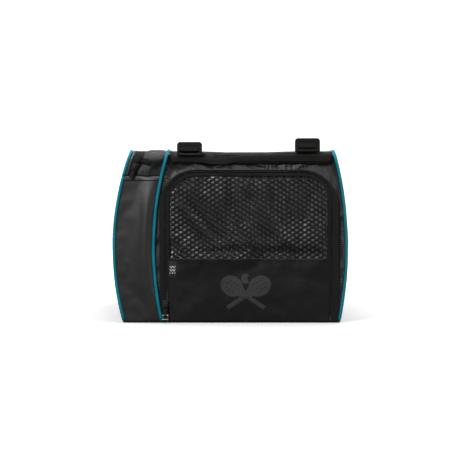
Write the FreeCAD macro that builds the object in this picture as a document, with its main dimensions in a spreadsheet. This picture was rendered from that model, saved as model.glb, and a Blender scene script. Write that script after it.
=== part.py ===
"""Padel paddle case: a soft holdall with a paddle compartment beside a main compartment, and a ventilated end pocket.

Frame: millimetres, +Z up, -Y is the end with the ventilated pocket, +X is the main compartment's side.
The origin is on the floor, under the middle of the bag. The bag's two side walls and the divider between its
compartments bulge to the left or right, so each of them is a sector of a large drum whose axis runs along Y.
"""
import FreeCAD
import Part
import Sketcher

import math
import os

DIMENSIONS = {
    # the bag's body
    "bag_length": 500, "bag_height": 274, "wall": 4, "belly_z": 120,
    # side drums: the axis' X and the radius of the paddle side, the divider and the right side
    "left_axis_x": 250.7, "left_r": 435, "mid_axis_x": 393, "mid_r": 516, "right_axis_x": -402.4, "right_r": 587,
    # paddle compartment: its lip folds outwards above lip_z, and the zip runs zip_inset from the side's edge
    "lip_z": 234, "lip_gap": 0.3, "zip_inset": 11, "zip_gap": 0.5, "lining_thick": 1, "lining_gap": 0.1,
    "lining_low": 6, "lining_top": 232,
    # zip tapes
    "tape_thick": 1.5, "tape_narrow": 7, "tape_wide": 14,
    # end pocket's flap, liner and label
    "flap_x0": -98.7, "flap_x1": 158, "flap_low": 14.2, "flap_top": 237, "flap_corner": 42, "flap_seam_z": 100.8,
    "flap_gap": 0.5, "mesh_thick": 2, "mesh_gap": 0.5, "flap_lining_inset": 2, "liner_depth": 120, "liner_wall": 2,
    "label_wide": 13, "label_low": 72, "label_tall": 27, "label_thick": 1.1,
    # band sewn along the top edge of that end
    "band_low": 259, "band_x0": -95, "band_x1": 158,
    # right side's door
    "door_half": 204, "door_low": 36.5, "door_top": 231.5, "door_corner": 40, "door_gap": 0.6,
    # top and base
    "back_low": 259, "back_thick": 7, "board_thick": 2.5, "board_x0": -104, "board_x1": 166, "board_half": 243,
    # piping
    "pipe_r": 2.3, "pipe_run_r": 2.45, "pipe_out": 0.8,
    # ladder locks
    "strap_left_x": -64.8, "strap_right_x": 123.2, "lock_left_z": 267.5, "lock_right_z": 273.5,
    "lock_y": -255.8, "lock_wide": 40, "lock_tall": 22, "lock_thick": 4.4, "lock_corner": 5, "lock_bar_r": 2.2,
    "slot_wide": 31, "slot_tall": 5, "middle_bar": 3.6,
    "tab_wide": 30, "tab_thick": 1.8, "tab_low": 254, "tab_gap": 0.3,
    # shoulder straps
    "web_wide": 28, "web_thick": 1.8, "web_front": -228, "pad_wide": 60, "pad_thick": 9, "pad_front": -150,
    "pad_rear": 200, "pad_gap": 0.5, "anchor_rear": 245.5,
    # grab handle on the far end
    "handle_x": 33, "handle_y": 256, "handle_z": 252, "handle_half": 62, "handle_drop": 44, "handle_web": 24,
    "handle_thick": 3, "handle_pin_r": 1.6, "handle_eye_r": 3.6, "handle_play": 0.06, "grip_r": 8,
    "bracket_plate": 2, "bracket_half": 15.5, "bracket_tall": 10, "lug_thick": 2.5,
    # zip sliders and pullers
    "slider_long": 12, "slider_wide": 9, "slider_thick": 3.4, "slider_gap": 0.3, "bridge_long": 9,
    "bridge_wide": 2.6, "bridge_tall": 3.8, "window_long": 5, "window_tall": 2.2, "pin_r": 0.8, "pin_half": 2.9,
    "cheek_inner": 1.7, "cheek_end": 7, "pull_end": 17, "pull_half": 2.9, "pull_thick": 1.8,
    "knuckle_r": 1.75, "knuckle_half": 1.8,
    "ring_start": 18.6, "ring_end": 25.4, "ring_half": 4.1, "wire_r": 0.75, "wire_end_r": 0.85, "ring_eye_r": 0.95,
    "pocket_slider_x": -103.8, "pocket_slider_z": 31, "upper_slider_z": 264, "lower_slider_z": 250.5,
    "door_slider_z": 239, "door_slider_y": 8,
}
TILT_PADDLE_ZIP = 18.8  # degrees that the paddle zip leans from the vertical where its sliders are
TILT_DOOR_ZIP = 11.7  # degrees that the right side leans inwards along the top of its door

doc = FreeCAD.newDocument("paddle_case")
sheet = doc.addObject("Spreadsheet::Sheet", "dims")
for row, (alias, value) in enumerate(DIMENSIONS.items(), start=1):
    sheet.set("A%d" % row, alias)
    sheet.set("B%d" % row, str(value))
    sheet.setAlias("B%d" % row, alias)
doc.recompute()

PIECES = []  # the sub-parts, in the order made
REAR, FRONT = "dims.bag_length / 2", "-dims.bag_length / 2"
INNER_REAR, INNER_FRONT = f"{REAR} - dims.wall", f"{FRONT} + dims.wall"
TOP, CEILING = "dims.bag_height", "dims.bag_height - dims.wall"
TAPE_FRONT = f"{FRONT} - dims.tape_thick"
LEFT_END, RIGHT_END = "-200", "200"  # past both side walls, so that the drums trim every slab
DRUM_END = 300  # past both ends


def bind(feature, **expressions):
    """Ties properties of a feature to the sheet."""
    for name, expression in expressions.items():
        feature.setExpression(name, str(expression))
    return feature


def place(feature, x="0", y="0", z="0", rotation=None):
    """Ties a feature's position to the sheet, and turns it."""
    if rotation is not None:
        feature.Placement.Rotation = rotation
    for axis, expression in zip("xyz", (x, y, z)):
        feature.setExpression("Placement.Base." + axis, str(expression))
    return feature


def piece(feature, label):
    """Makes a feature one of the bag's sub-parts, under that name."""
    feature.Label = label
    PIECES.append(feature)
    return feature


def turn(axis, degrees):
    return FreeCAD.Rotation(FreeCAD.Vector(*axis), degrees)


def slab(x0, x1, y0, y1, z0, z1):
    """A box between two corners."""
    box = doc.addObject("Part::Box", "slab")
    bind(box, Length=f"({x1}) - ({x0})", Width=f"({y1}) - ({y0})", Height=f"({z1}) - ({z0})")
    return place(box, x0, y0, z0)


def rod(radius, length, x, y, z, rotation=None):
    """A cylinder from a point, along +Z before it is turned."""
    cylinder = doc.addObject("Part::Cylinder", "rod")
    bind(cylinder, Radius=radius, Height=length)
    return place(cylinder, x, y, z, rotation)


def rod_x(radius, x0, x1, y, z):
    return rod(radius, f"({x1}) - ({x0})", x0, y, z, turn((0, 1, 0), 90))


def rod_y(radius, x, y0, y1, z):
    return rod(radius, f"({y1}) - ({y0})", x, y0, z, turn((1, 0, 0), -90))


def fuse(*shapes):
    union = doc.addObject("Part::MultiFuse", "fuse")
    union.Shapes = list(shapes)
    union.Refine = True
    return union


def common(*shapes):
    overlap = doc.addObject("Part::MultiCommon", "common")
    overlap.Shapes = list(shapes)
    return overlap


def cut(base, *tools):
    """The base less each tool in turn."""
    for tool in tools:
        remainder = doc.addObject("Part::Cut", "cut")
        remainder.Base = base
        remainder.Tool = tool
        base = remainder
    return base


def drum(side, grow="0"):
    """Everything on the inner side of a side wall's outer face, moved outwards by grow."""
    return rod_y(f"dims.{side}_r + ({grow})", f"dims.{side}_axis_x", -DRUM_END, DRUM_END, "dims.belly_z")


def skin(side, outer, inner):
    """The space between two faces of a side wall, each given as its distance outside the wall's own face."""
    return cut(drum(side, outer), drum(side, inner))


def side_x(side, z, grow="0"):
    """The X of a side wall's face at a height."""
    sign = "+" if side == "right" else "-"
    return f"(dims.{side}_axis_x {sign} sqrt((dims.{side}_r + ({grow}))^2 - (({z}) - dims.belly_z)^2))"


def round_top_slab(faces, across0, across1, low, top, corner, depth0, depth1):
    """A slab with its two top corners rounded, padded from a sketch. One that faces the end ("y") has X across and
    Y as its depth, and one that faces the side ("x") has Y across and X as its depth."""
    body = doc.addObject("PartDesign::Body", "round_top_slab")
    sketch = body.newObject("Sketcher::SketchObject", "outline")
    role = "XZ_Plane" if faces == "y" else "YZ_Plane"
    plane = next(feature for feature in body.Origin.OriginFeatures if feature.Role == role)
    sketch.AttachmentSupport = [(plane, "")]
    sketch.MapMode = "FlatFace"

    # the outline starts as a square of about the right form, and the constraints set its real size
    half, start_r = 100.0, 10.0
    base, right, upper, left, right_arc, left_arc = range(6)
    corners = [(-half, half), (half, half), (half, 2 * half), (half - start_r, 2 * half + start_r),
               (start_r - half, 2 * half + start_r), (-half, 2 * half)]
    for a, b in ((0, 1), (1, 2), (3, 4), (5, 0)):
        sketch.addGeometry(Part.LineSegment(FreeCAD.Vector(*corners[a]), FreeCAD.Vector(*corners[b])), False)
    for centre_x, start in ((half - start_r, 0.0), (start_r - half, math.pi / 2)):
        circle = Part.Circle(FreeCAD.Vector(centre_x, 2 * half), FreeCAD.Vector(0, 0, 1), start_r)
        sketch.addGeometry(Part.ArcOfCircle(circle, start, start + math.pi / 2), False)
    for first, second in ((base, right), (left, base)):
        sketch.addConstraint(Sketcher.Constraint("Coincident", first, 2, second, 1))
    for first, second in ((right, right_arc), (right_arc, upper), (upper, left_arc), (left_arc, left)):
        sketch.addConstraint(Sketcher.Constraint("Tangent", first, 2, second, 1))
    for kind, line in (("Horizontal", base), ("Horizontal", upper), ("Vertical", right), ("Vertical", left)):
        sketch.addConstraint(Sketcher.Constraint(kind, line))
    sketch.addConstraint(Sketcher.Constraint("Equal", right_arc, left_arc))
    origin = (-1, 1)
    for kind, geometry, value, expression in (
            ("Radius", (right_arc,), start_r, corner), ("DistanceX", (*origin, base, 1), -half, across0),
            ("DistanceX", (*origin, base, 2), half, across1), ("DistanceY", (*origin, base, 1), half, low),
            ("DistanceY", (*origin, upper, 1), 2 * half + start_r, top)):
        index = sketch.addConstraint(Sketcher.Constraint(kind, *geometry, value))
        sketch.setExpression("Constraints[%d]" % index, str(expression))

    pad = body.newObject("PartDesign::Pad", "thickness")
    pad.Profile = sketch
    bind(pad, Length=f"({depth1}) - ({depth0})")
    pad.Reversed = faces == "y"  # a sketch on the XZ plane faces -Y
    if faces == "y":
        return place(body, y=depth0)
    return place(body, x=depth0)


def paddle_compartment():
    """The coated gusset below the mouth, the light fabric beside the zip, the side wall, its lining and the lip."""
    zip_line = drum("left", "-dims.zip_inset - dims.zip_gap")

    def panel(label, y0, y1, z0, z1, outer):
        piece(cut(common(slab(LEFT_END, RIGHT_END, y0, y1, z0, z1), outer), drum("mid")), label)

    panel("paddle_gusset_front", FRONT, INNER_FRONT, "dims.wall", "dims.lip_z", drum("left"))
    panel("paddle_gusset_rear", INNER_REAR, REAR, "dims.wall", "dims.lip_z", drum("left"))
    panel("paddle_gusset_base", FRONT, REAR, "0", "dims.wall", drum("left"))
    panel("paddle_upper_front", FRONT, INNER_FRONT, "dims.lip_z", CEILING, zip_line)
    panel("paddle_upper_rear", INNER_REAR, REAR, "dims.lip_z", CEILING, zip_line)
    panel("paddle_top_panel", FRONT, REAR, CEILING, TOP, zip_line)

    side = slab(LEFT_END, RIGHT_END, INNER_FRONT, INNER_REAR, "dims.wall", "dims.lip_z")
    piece(common(side, skin("left", "0", "-dims.wall")), "paddle_outer_panel")
    lining = slab(LEFT_END, RIGHT_END, f"{INNER_FRONT} + 1", f"{INNER_REAR} - 1", "dims.lining_low",
                  "dims.lining_top")
    lining_out = "-dims.wall - dims.lining_gap"
    piece(common(lining, skin("left", lining_out, f"{lining_out} - dims.lining_thick")), "thermal_lining")

    shell = slab(LEFT_END, "0", FRONT, REAR, "dims.lip_z + dims.lip_gap", TOP)
    inside = common(slab(LEFT_END, "0", INNER_FRONT, INNER_REAR, "dims.lip_z", CEILING), drum("left", "-dims.wall"))
    piece(cut(common(shell, skin("left", "0", "-dims.zip_inset")), inside), "paddle_lip")


def paddle_zip():
    """Both halves of the paddle compartment's zip tape, up the front, over the top and down the rear."""
    def over_the_top(z0):
        outside = slab(LEFT_END, "0", TAPE_FRONT, f"{REAR} + dims.tape_thick", z0, f"{TOP} + dims.tape_thick")
        return cut(outside, slab(LEFT_END, "0", FRONT, REAR, f"{z0} - 1", TOP))

    fixed_edge = "-dims.zip_inset - dims.zip_gap"
    piece(common(over_the_top("dims.lip_z"), skin("left", fixed_edge, f"{fixed_edge} - dims.tape_narrow")),
          "paddle_zip_tape")
    piece(common(over_the_top("dims.lip_z + dims.lip_gap"),
                 skin("left", "-dims.zip_inset + dims.tape_narrow", "-dims.zip_inset")), "lip_zip_tape")


def main_compartment():
    """The divider, base, ends, top and right side of the main compartment, with the right side's door."""
    between = slab(LEFT_END, RIGHT_END, INNER_FRONT, INNER_REAR, "dims.wall", TOP)
    piece(common(between, skin("mid", "0", "-dims.wall"), slab(LEFT_END, "0", FRONT, REAR, "0", TOP)),
          "divider_panel")
    piece(common(slab(LEFT_END, RIGHT_END, FRONT, REAR, "0", "dims.wall"), drum("mid"), drum("right")),
          "base_panel")
    piece(common(slab(LEFT_END, RIGHT_END, INNER_REAR, REAR, "dims.wall", TOP), drum("mid"), drum("right")),
          "main_rear_panel")
    back = slab(LEFT_END, RIGHT_END, INNER_FRONT, INNER_REAR, "dims.back_low", "dims.back_low + dims.back_thick")
    piece(common(back, drum("mid", "-dims.wall"), drum("right", "-dims.wall")), "back_panel")
    piece(slab("dims.board_x0", "dims.board_x1", "-dims.board_half", "dims.board_half", "dims.wall",
               "dims.wall + dims.board_thick"), "base_board")

    opening = pocket_outline("dims.flap_gap", "dims.flap_low - dims.flap_gap", f"{FRONT} - 5", f"{FRONT} + 10")
    front = common(slab(LEFT_END, RIGHT_END, FRONT, INNER_FRONT, "dims.wall", TOP), drum("mid"), drum("right"))
    piece(cut(front, opening), "main_front_panel")

    right_wall = common(slab("0", RIGHT_END, INNER_FRONT, INNER_REAR, "dims.wall", TOP),
                        skin("right", "0", "-dims.wall"))
    piece(cut(right_wall, door_outline("dims.door_gap", "dims.door_low - dims.door_gap")), "right_side_frame")
    piece(common(right_wall, door_outline("0", "dims.door_low")), "door_panel")
    frame_tape = common(skin("right", "dims.tape_thick", "0"), door_outline("dims.tape_wide", "dims.door_low"))
    piece(cut(frame_tape, door_outline("dims.door_gap", "dims.door_low - dims.door_gap")), "door_zip_tape")


def door_outline(grow, low):
    """The door's outline through the right wall, larger by grow."""
    return round_top_slab("x", f"-dims.door_half - ({grow})", f"dims.door_half + ({grow})", low,
                          f"dims.door_top + ({grow})", f"dims.door_corner + ({grow})", "100", "220")


def pocket_outline(grow, low, y0, y1):
    """The end pocket's outline between two depths, larger by grow."""
    return round_top_slab("y", f"dims.flap_x0 - ({grow})", f"dims.flap_x1 + ({grow})", low,
                          f"dims.flap_top + ({grow})", f"dims.flap_corner + ({grow})", y0, y1)


def end_pocket():
    """The ventilated pocket's flap, lining, label, zip tape and liner, and the band along the edge above it."""
    mesh_back = f"{FRONT} + dims.mesh_thick"
    piece(pocket_outline("0", "dims.flap_seam_z", FRONT, mesh_back), "flap_mesh")
    piece(slab("dims.flap_x0", "dims.flap_x1", FRONT, INNER_FRONT, "dims.flap_low", "dims.flap_seam_z"),
          "flap_lower_panel")
    piece(pocket_outline("-dims.flap_lining_inset", "dims.flap_seam_z", f"{mesh_back} + dims.mesh_gap",
                         f"{mesh_back} + dims.mesh_gap + dims.lining_thick"), "flap_lining")
    piece(slab("dims.flap_x0", "dims.flap_x0 + dims.label_wide", f"{FRONT} - dims.label_thick", FRONT,
               "dims.label_low", "dims.label_low + dims.label_tall"), "woven_label")

    low = "dims.flap_low - dims.flap_gap"
    band = common(pocket_outline("dims.tape_wide", low, TAPE_FRONT, FRONT),
                  drum("mid", "-dims.pipe_run_r - dims.slider_gap"), drum("right", "-dims.slider_gap"))
    inner = pocket_outline("dims.flap_gap", f"{low} - 5", f"{TAPE_FRONT} - 1", f"{FRONT} + 1")
    piece(cut(band, inner), "pocket_zip_tape")
    piece(slab("dims.band_x0", "dims.band_x1", TAPE_FRONT, FRONT, "dims.band_low", TOP), "top_edge_band")

    x0, x1 = "dims.flap_x0 - dims.flap_gap", "dims.flap_x1 + dims.flap_gap"
    high = "dims.flap_top + dims.flap_gap"
    liner_back = f"{INNER_FRONT} + dims.liner_depth"
    shell = slab(f"{x0} - dims.liner_wall", f"{x1} + dims.liner_wall", INNER_FRONT, liner_back,
                 f"{low} - dims.liner_wall", f"{high} + dims.liner_wall")
    hollow = slab(x0, x1, f"{INNER_FRONT} - 1", f"{liner_back} - dims.liner_wall", low, high)
    piece(cut(shell, hollow), "pocket_liner")


def piping_arcs(side, grow, out, z0, z1):
    """The piping up both end faces beside a side wall's face, between two heights."""
    arcs = []
    for y in (f"{FRONT} - ({out})", f"{REAR} + ({out})"):
        torus = doc.addObject("Part::Torus", "piping_arc")
        bind(torus, Radius1=f"dims.{side}_r + ({grow})", Radius2="dims.pipe_r")
        place(torus, f"dims.{side}_axis_x", y, "dims.belly_z", turn((1, 0, 0), 90))
        half = ("0", RIGHT_END) if side == "right" else (LEFT_END, "0")
        arcs.append(common(torus, slab(*half, f"({y}) - 5", f"({y}) + 5", z0, z1)))
    return arcs


def piping_run(side, grow, out, z):
    """The piping from end to end at a height, a little thicker than the arcs that run into it."""
    y0, y1 = f"{FRONT} - ({out}) - dims.pipe_run_r", f"{REAR} + ({out}) + dims.pipe_run_r"
    return rod_y("dims.pipe_run_r", side_x(side, z, grow), y0, y1, z)


def pipings():
    """The blue pipings: one round each side wall, and one up both ends and over the top beside the divider."""
    beside, out = "dims.pipe_run_r", "dims.pipe_out"
    low, high = "dims.pipe_run_r", f"{TOP} + dims.pipe_out"
    piece(fuse(*piping_arcs("left", beside, out, low, "dims.lip_z"), piping_run("left", beside, out, low)),
          "paddle_side_piping")
    piece(fuse(*piping_arcs("left", beside, out, "dims.lip_z + dims.lip_gap", high),
               piping_run("left", beside, out, high)), "lip_piping")
    piece(fuse(*piping_arcs("right", beside, out, low, high), piping_run("right", beside, out, low),
               piping_run("right", beside, out, high)), "right_piping")
    over_top = f"{TOP} + dims.pipe_run_r"
    piece(fuse(*piping_arcs("mid", "0", beside, low, over_top), piping_run("mid", "0", beside, over_top)),
          "middle_piping")


def strap(side, x, lock_z):
    """One shoulder strap: its ladder lock, the webbing tab that holds the lock, the pad and the webbing."""
    half_slot, half_bar = "dims.slot_wide / 2", "dims.lock_thick / 2"
    y0, y1 = f"dims.lock_y - {half_bar}", f"dims.lock_y + {half_bar}"
    bar_z = f"{lock_z} + dims.lock_bar_r"
    slot_low = f"{lock_z} + 2 * dims.lock_bar_r"
    middle_low = f"{slot_low} + dims.slot_tall"
    slot_high = f"{middle_low} + dims.middle_bar"

    plate = round_top_slab("y", f"{x} - dims.lock_wide / 2", f"{x} + dims.lock_wide / 2", bar_z,
                           f"{lock_z} + dims.lock_tall", "dims.lock_corner", y0, y1)
    slots = [slab(f"{x} - {half_slot}", f"{x} + {half_slot}", f"{y0} - 1", f"{y1} + 1", z, f"{z} + dims.slot_tall")
             for z in (slot_low, slot_high)]
    below_slot = slab(f"{x} - {half_slot}", f"{x} + {half_slot}", f"{y0} - 1", f"{y1} + 1", f"{bar_z} - 1",
                      f"{slot_low} + 1")
    bar = rod_x("dims.lock_bar_r", f"{x} - dims.lock_wide / 2", f"{x} + dims.lock_wide / 2", "dims.lock_y", bar_z)
    piece(fuse(cut(plate, *slots, below_slot), bar), f"{side}_ladder_lock")

    half_tab = "dims.tab_wide / 2"
    loop_in, loop_out = "dims.lock_bar_r + dims.tab_gap", "dims.lock_bar_r + dims.tab_gap + dims.tab_thick"
    loop = rod_x(loop_out, f"{x} - {half_tab}", f"{x} + {half_tab}", "dims.lock_y", bar_z)
    tail = slab(f"{x} - {half_tab}", f"{x} + {half_tab}", f"dims.lock_y + {loop_in}", f"dims.lock_y + {loop_out}",
                "dims.tab_low", bar_z)
    eye = rod_x(loop_in, f"{x} - {half_tab} - 1", f"{x} + {half_tab} + 1", "dims.lock_y", bar_z)
    piece(cut(fuse(loop, tail), eye), f"{side}_lock_tab")

    half_web = "dims.web_wide / 2"
    web = "dims.web_thick"
    wrap = slab(f"{x} - {half_web}", f"{x} + {half_web}", f"{y0} - {web}", f"{y1} + {web}",
                f"{middle_low} - {web}", f"{slot_high} + {web}")
    middle = slab(f"{x} - {half_web} - 1", f"{x} + {half_web} + 1", y0, y1, middle_low, slot_high)
    piece(cut(wrap, middle), f"{side}_lock_webbing")

    pad_low = "dims.back_low + dims.back_thick + dims.pad_gap"
    half_pad = "dims.pad_wide / 2"
    straight = slab(f"{x} - {half_pad}", f"{x} + {half_pad}", f"dims.pad_front + {half_pad}",
                    f"dims.pad_rear - {half_pad}", pad_low, f"{pad_low} + dims.pad_thick")
    ends = [rod(half_pad, "dims.pad_thick", x, y, pad_low)
            for y in (f"dims.pad_front + {half_pad}", f"dims.pad_rear - {half_pad}")]
    piece(fuse(straight, *ends), f"{side}_strap_pad")
    piece(slab(f"{x} - {half_web}", f"{x} + {half_web}", "dims.web_front", "dims.pad_front", pad_low,
               f"{pad_low} + {web}"), f"{side}_strap_webbing")
    piece(slab(f"{x} - {half_web}", f"{x} + {half_web}", "dims.pad_rear + dims.tab_gap", "dims.anchor_rear",
               pad_low, f"{pad_low} + {web}"), f"{side}_strap_anchor")


def grab_handle():
    """The far end's handle: a padded grip on two webbing legs, each looped over a pin in a bracket."""
    legs = []
    for side, sign in (("left", "-"), ("right", "+")):
        x = f"dims.handle_x {sign} dims.handle_half"
        edge = "dims.bracket_half"
        plate = slab(f"{x} - {edge}", f"{x} + {edge}", REAR, f"{REAR} + dims.bracket_plate",
                     "dims.handle_z - dims.bracket_tall", "dims.handle_z + dims.bracket_tall")
        lugs = []
        for lug_x in (f"{x} - {edge}", f"{x} + {edge} - dims.lug_thick"):
            lugs.append(slab(lug_x, f"{lug_x} + dims.lug_thick", REAR, "dims.handle_y",
                             "dims.handle_z - dims.handle_eye_r", "dims.handle_z + dims.handle_eye_r"))
            lugs.append(rod_x("dims.handle_eye_r", lug_x, f"{lug_x} + dims.lug_thick", "dims.handle_y",
                              "dims.handle_z"))
        pin = rod_x("dims.handle_pin_r", f"{x} - {edge}", f"{x} + {edge}", "dims.handle_y", "dims.handle_z")
        piece(fuse(plate, *lugs, pin), f"{side}_handle_bracket")

        half_web, half_thick = "dims.handle_web / 2", "dims.handle_thick / 2"
        eye = rod_x("dims.handle_eye_r", f"{x} - {half_web}", f"{x} + {half_web}", "dims.handle_y", "dims.handle_z")
        leg = slab(f"{x} - {half_web}", f"{x} + {half_web}", f"dims.handle_y - {half_thick}",
                   f"dims.handle_y + {half_thick}", "dims.handle_z - dims.handle_drop", "dims.handle_z")
        hole = rod_x("dims.handle_pin_r + dims.handle_play", f"{x} - {half_web} - 1", f"{x} + {half_web} + 1",
                     "dims.handle_y", "dims.handle_z")
        legs.append(cut(fuse(eye, leg), hole))
    end = "(dims.handle_half + dims.handle_web / 2)"
    grip = rod_x("dims.grip_r", f"dims.handle_x - {end}", f"dims.handle_x + {end}", "dims.handle_y + 3",
                 "dims.handle_z - dims.handle_drop")
    for side, leg in zip(("left", "right"), legs):
        piece(cut(leg, grip), f"{side}_handle_leg")
    piece(grip, "handle_grip")


def zip_slider(label, x, y, z, outwards, body_turn):
    """A slider and its bridge. Before it is turned, its puller points along +X and +Z is away from the bag."""
    half_long, half_wide = "dims.slider_long / 2", "dims.slider_wide / 2"
    top = "dims.slider_gap + dims.slider_thick"
    corner = "dims.slider_wide / 4"
    body = fuse(slab(f"-{half_long} + {corner}", f"{half_long} - {corner}", f"-{half_wide}", half_wide,
                     "dims.slider_gap", top),
                slab(f"-{half_long}", half_long, f"-{half_wide} + {corner}", f"{half_wide} - {corner}",
                     "dims.slider_gap", top),
                *[rod(corner, "dims.slider_thick", f"{sx}({half_long} - {corner})",
                      f"{sy}({half_wide} - {corner})", "dims.slider_gap") for sx in ("-", "+") for sy in ("-", "+")])
    place(body, rotation=turn((0, 0, 1), body_turn))
    arch = slab("-dims.bridge_long / 2", "dims.bridge_long / 2", "-dims.bridge_wide / 2", "dims.bridge_wide / 2",
                f"{top} - 0.5", f"{top} + dims.bridge_tall")
    window = slab("-dims.window_long / 2", "dims.window_long / 2", "-dims.bridge_wide", "dims.bridge_wide", top,
                  f"{top} + dims.window_tall")
    whole = fuse(body, cut(arch, window))
    piece(place(whole, x, y, z, outwards), label)


def zip_puller(label, x, y, z, outwards, ring_label=None):
    """A puller on a pin through its slider's bridge, with a wire ring in its end where the ring has a name."""
    pin_z = "dims.slider_gap + dims.slider_thick + dims.window_tall / 2"
    half_thick = "dims.pull_thick / 2"
    low, high = f"{pin_z} - {half_thick}", f"{pin_z} + {half_thick}"
    pin = rod("dims.pin_r", "2 * dims.pin_half", "0", "-dims.pin_half", pin_z, turn((1, 0, 0), -90))
    cheeks = [slab("0", "dims.cheek_end", y0, y1, f"{pin_z} - dims.pin_r", f"{pin_z} + dims.pin_r")
              for y0, y1 in (("-dims.pin_half", "-dims.cheek_inner"), ("dims.cheek_inner", "dims.pin_half"))]
    tab = slab("dims.cheek_end", "dims.pull_end", "-dims.pull_half", "dims.pull_half", low, high)
    if ring_label:
        half, start, end, wire = "dims.ring_half", "dims.ring_start", "dims.ring_end", "dims.wire_r"
        knuckle = rod("dims.knuckle_r", "2 * dims.knuckle_half", start, "-dims.knuckle_half", pin_z,
                      turn((1, 0, 0), -90))
        bore = rod("dims.ring_eye_r", "4 * dims.knuckle_half", start, "-2 * dims.knuckle_half", pin_z,
                   turn((1, 0, 0), -90))
        solid = cut(fuse(pin, *cheeks, tab, knuckle), bore)
        thick = "dims.wire_end_r"  # the two end bars are a little thicker than the side bars that run into them
        bars = [rod(thick, f"2 * ({half} + {thick})", across, f"-({half} + {thick})", pin_z, turn((1, 0, 0), -90))
                for across in (start, end)]
        sides = [rod(wire, f"{end} - {start}", start, across, pin_z, turn((0, 1, 0), 90))
                 for across in (half, f"-{half}")]
        piece(place(fuse(*bars, *sides), x, y, z, outwards), ring_label)
    else:
        tip = rod("dims.pull_half", "dims.pull_thick", "dims.pull_end", "0", low)
        solid = fuse(pin, *cheeks, tab, tip)
    piece(place(solid, x, y, z, outwards), label)


def zip_hardware():
    """The sliders and pullers of the three zips."""
    vector = FreeCAD.Vector
    hanging = FreeCAD.Rotation(vector(0, 0, -1), vector(1, 0, 0), vector(0, -1, 0), "XYZ")

    # end pocket: one slider at the foot of the zip's left leg
    spot = ("dims.pocket_slider_x", TAPE_FRONT, "dims.pocket_slider_z")
    zip_slider("pocket_slider", *spot, hanging, 0)
    zip_puller("pocket_puller", *spot, hanging, "pocket_puller_ring")

    # paddle compartment: two sliders nose to nose near the top of the front leg
    zip_grow = "-dims.zip_inset - dims.zip_gap / 2"
    for name, z, pull_turn in (("upper", "dims.upper_slider_z", 70), ("lower", "dims.lower_slider_z", -TILT_PADDLE_ZIP)):
        spot = (side_x("left", z, zip_grow), TAPE_FRONT, z)
        outwards = hanging.multiply(turn((0, 0, 1), pull_turn))
        zip_slider(f"paddle_{name}_slider", *spot, outwards, -TILT_PADDLE_ZIP - pull_turn)
        zip_puller(f"paddle_{name}_puller", *spot, outwards)

    # right side's door: two sliders nose to nose in the middle of the zip's top run
    lean = turn((0, 1, 0), -TILT_DOOR_ZIP)
    for name, sign in (("front", -1), ("rear", 1)):
        flat = FreeCAD.Rotation(vector(0, sign, 0), vector(0, 0, sign), vector(1, 0, 0), "XYZ")
        spot = (side_x("right", "dims.door_slider_z", "dims.tape_thick"), f"{sign} * dims.door_slider_y",
                "dims.door_slider_z")
        zip_slider(f"door_{name}_slider", *spot, lean.multiply(flat), 0)
        zip_puller(f"door_{name}_puller", *spot, lean.multiply(flat))


paddle_compartment()
paddle_zip()
main_compartment()
end_pocket()
pipings()
strap("left", "dims.strap_left_x", "dims.lock_left_z")
strap("right", "dims.strap_right_x", "dims.lock_right_z")
grab_handle()
zip_hardware()
doc.recompute()

failed = [feature.Label for feature in doc.Objects if {"Invalid", "Error"} & set(feature.State)]
failed += [feature.Label for feature in PIECES if feature.Shape.isNull() or not feature.Shape.isValid()]
failed += [feature.Label for feature in PIECES if len(feature.Shape.Solids) != 1]
if failed:
    raise RuntimeError("these objects failed: " + ", ".join(failed))

os.makedirs("parts", exist_ok=True)
for feature in PIECES:
    feature.Shape.exportStep(os.path.join("parts", feature.Label + ".step"))
    box = feature.Shape.BoundBox
    size = "  ".join("%.1f..%.1f" % pair for pair in ((box.XMin, box.XMax), (box.YMin, box.YMax), (box.ZMin, box.ZMax)))
    print("%-22s %s  %.1f cm3" % (feature.Label, size, feature.Shape.Volume / 1000))
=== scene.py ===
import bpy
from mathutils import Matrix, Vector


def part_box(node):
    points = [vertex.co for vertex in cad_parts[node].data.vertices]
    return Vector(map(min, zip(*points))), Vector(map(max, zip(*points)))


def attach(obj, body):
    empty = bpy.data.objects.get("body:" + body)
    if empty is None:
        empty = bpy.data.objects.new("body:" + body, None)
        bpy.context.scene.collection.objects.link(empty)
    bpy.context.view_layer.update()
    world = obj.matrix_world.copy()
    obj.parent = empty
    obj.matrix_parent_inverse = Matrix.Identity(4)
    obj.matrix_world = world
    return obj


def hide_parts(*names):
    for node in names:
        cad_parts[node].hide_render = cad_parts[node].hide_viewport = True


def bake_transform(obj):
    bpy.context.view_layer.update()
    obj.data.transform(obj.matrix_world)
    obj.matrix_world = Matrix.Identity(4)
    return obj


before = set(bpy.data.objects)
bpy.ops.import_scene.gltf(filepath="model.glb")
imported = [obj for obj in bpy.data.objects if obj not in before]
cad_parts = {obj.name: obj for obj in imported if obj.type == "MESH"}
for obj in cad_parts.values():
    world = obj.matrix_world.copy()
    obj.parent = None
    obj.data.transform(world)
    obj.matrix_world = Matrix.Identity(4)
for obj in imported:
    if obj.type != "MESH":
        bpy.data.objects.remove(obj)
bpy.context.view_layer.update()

import math

import bpy
import numpy as np
from mathutils import Vector, noise

MM = 0.001

# ---------------------------------------------------------------- sizes, read from the frame

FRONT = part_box("main_front_panel")[0].y
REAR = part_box("main_rear_panel")[1].y
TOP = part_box("main_front_panel")[1].z
BELLY = 120 * MM
FLOOR_GAP = 1.5 * MM
FLAP_LOW, FLAP_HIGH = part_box("flap_mesh")
FLAP_SEAM = FLAP_LOW.z
FLAP_CORNER = 42 * MM
DOOR_LOW, DOOR_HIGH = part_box("door_panel")
DOOR_CORNER = 40 * MM
LIP_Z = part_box("paddle_lip")[0].z
ZIP_INSET = 11.2 * MM
PIPE_R = 2.4 * MM


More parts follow.
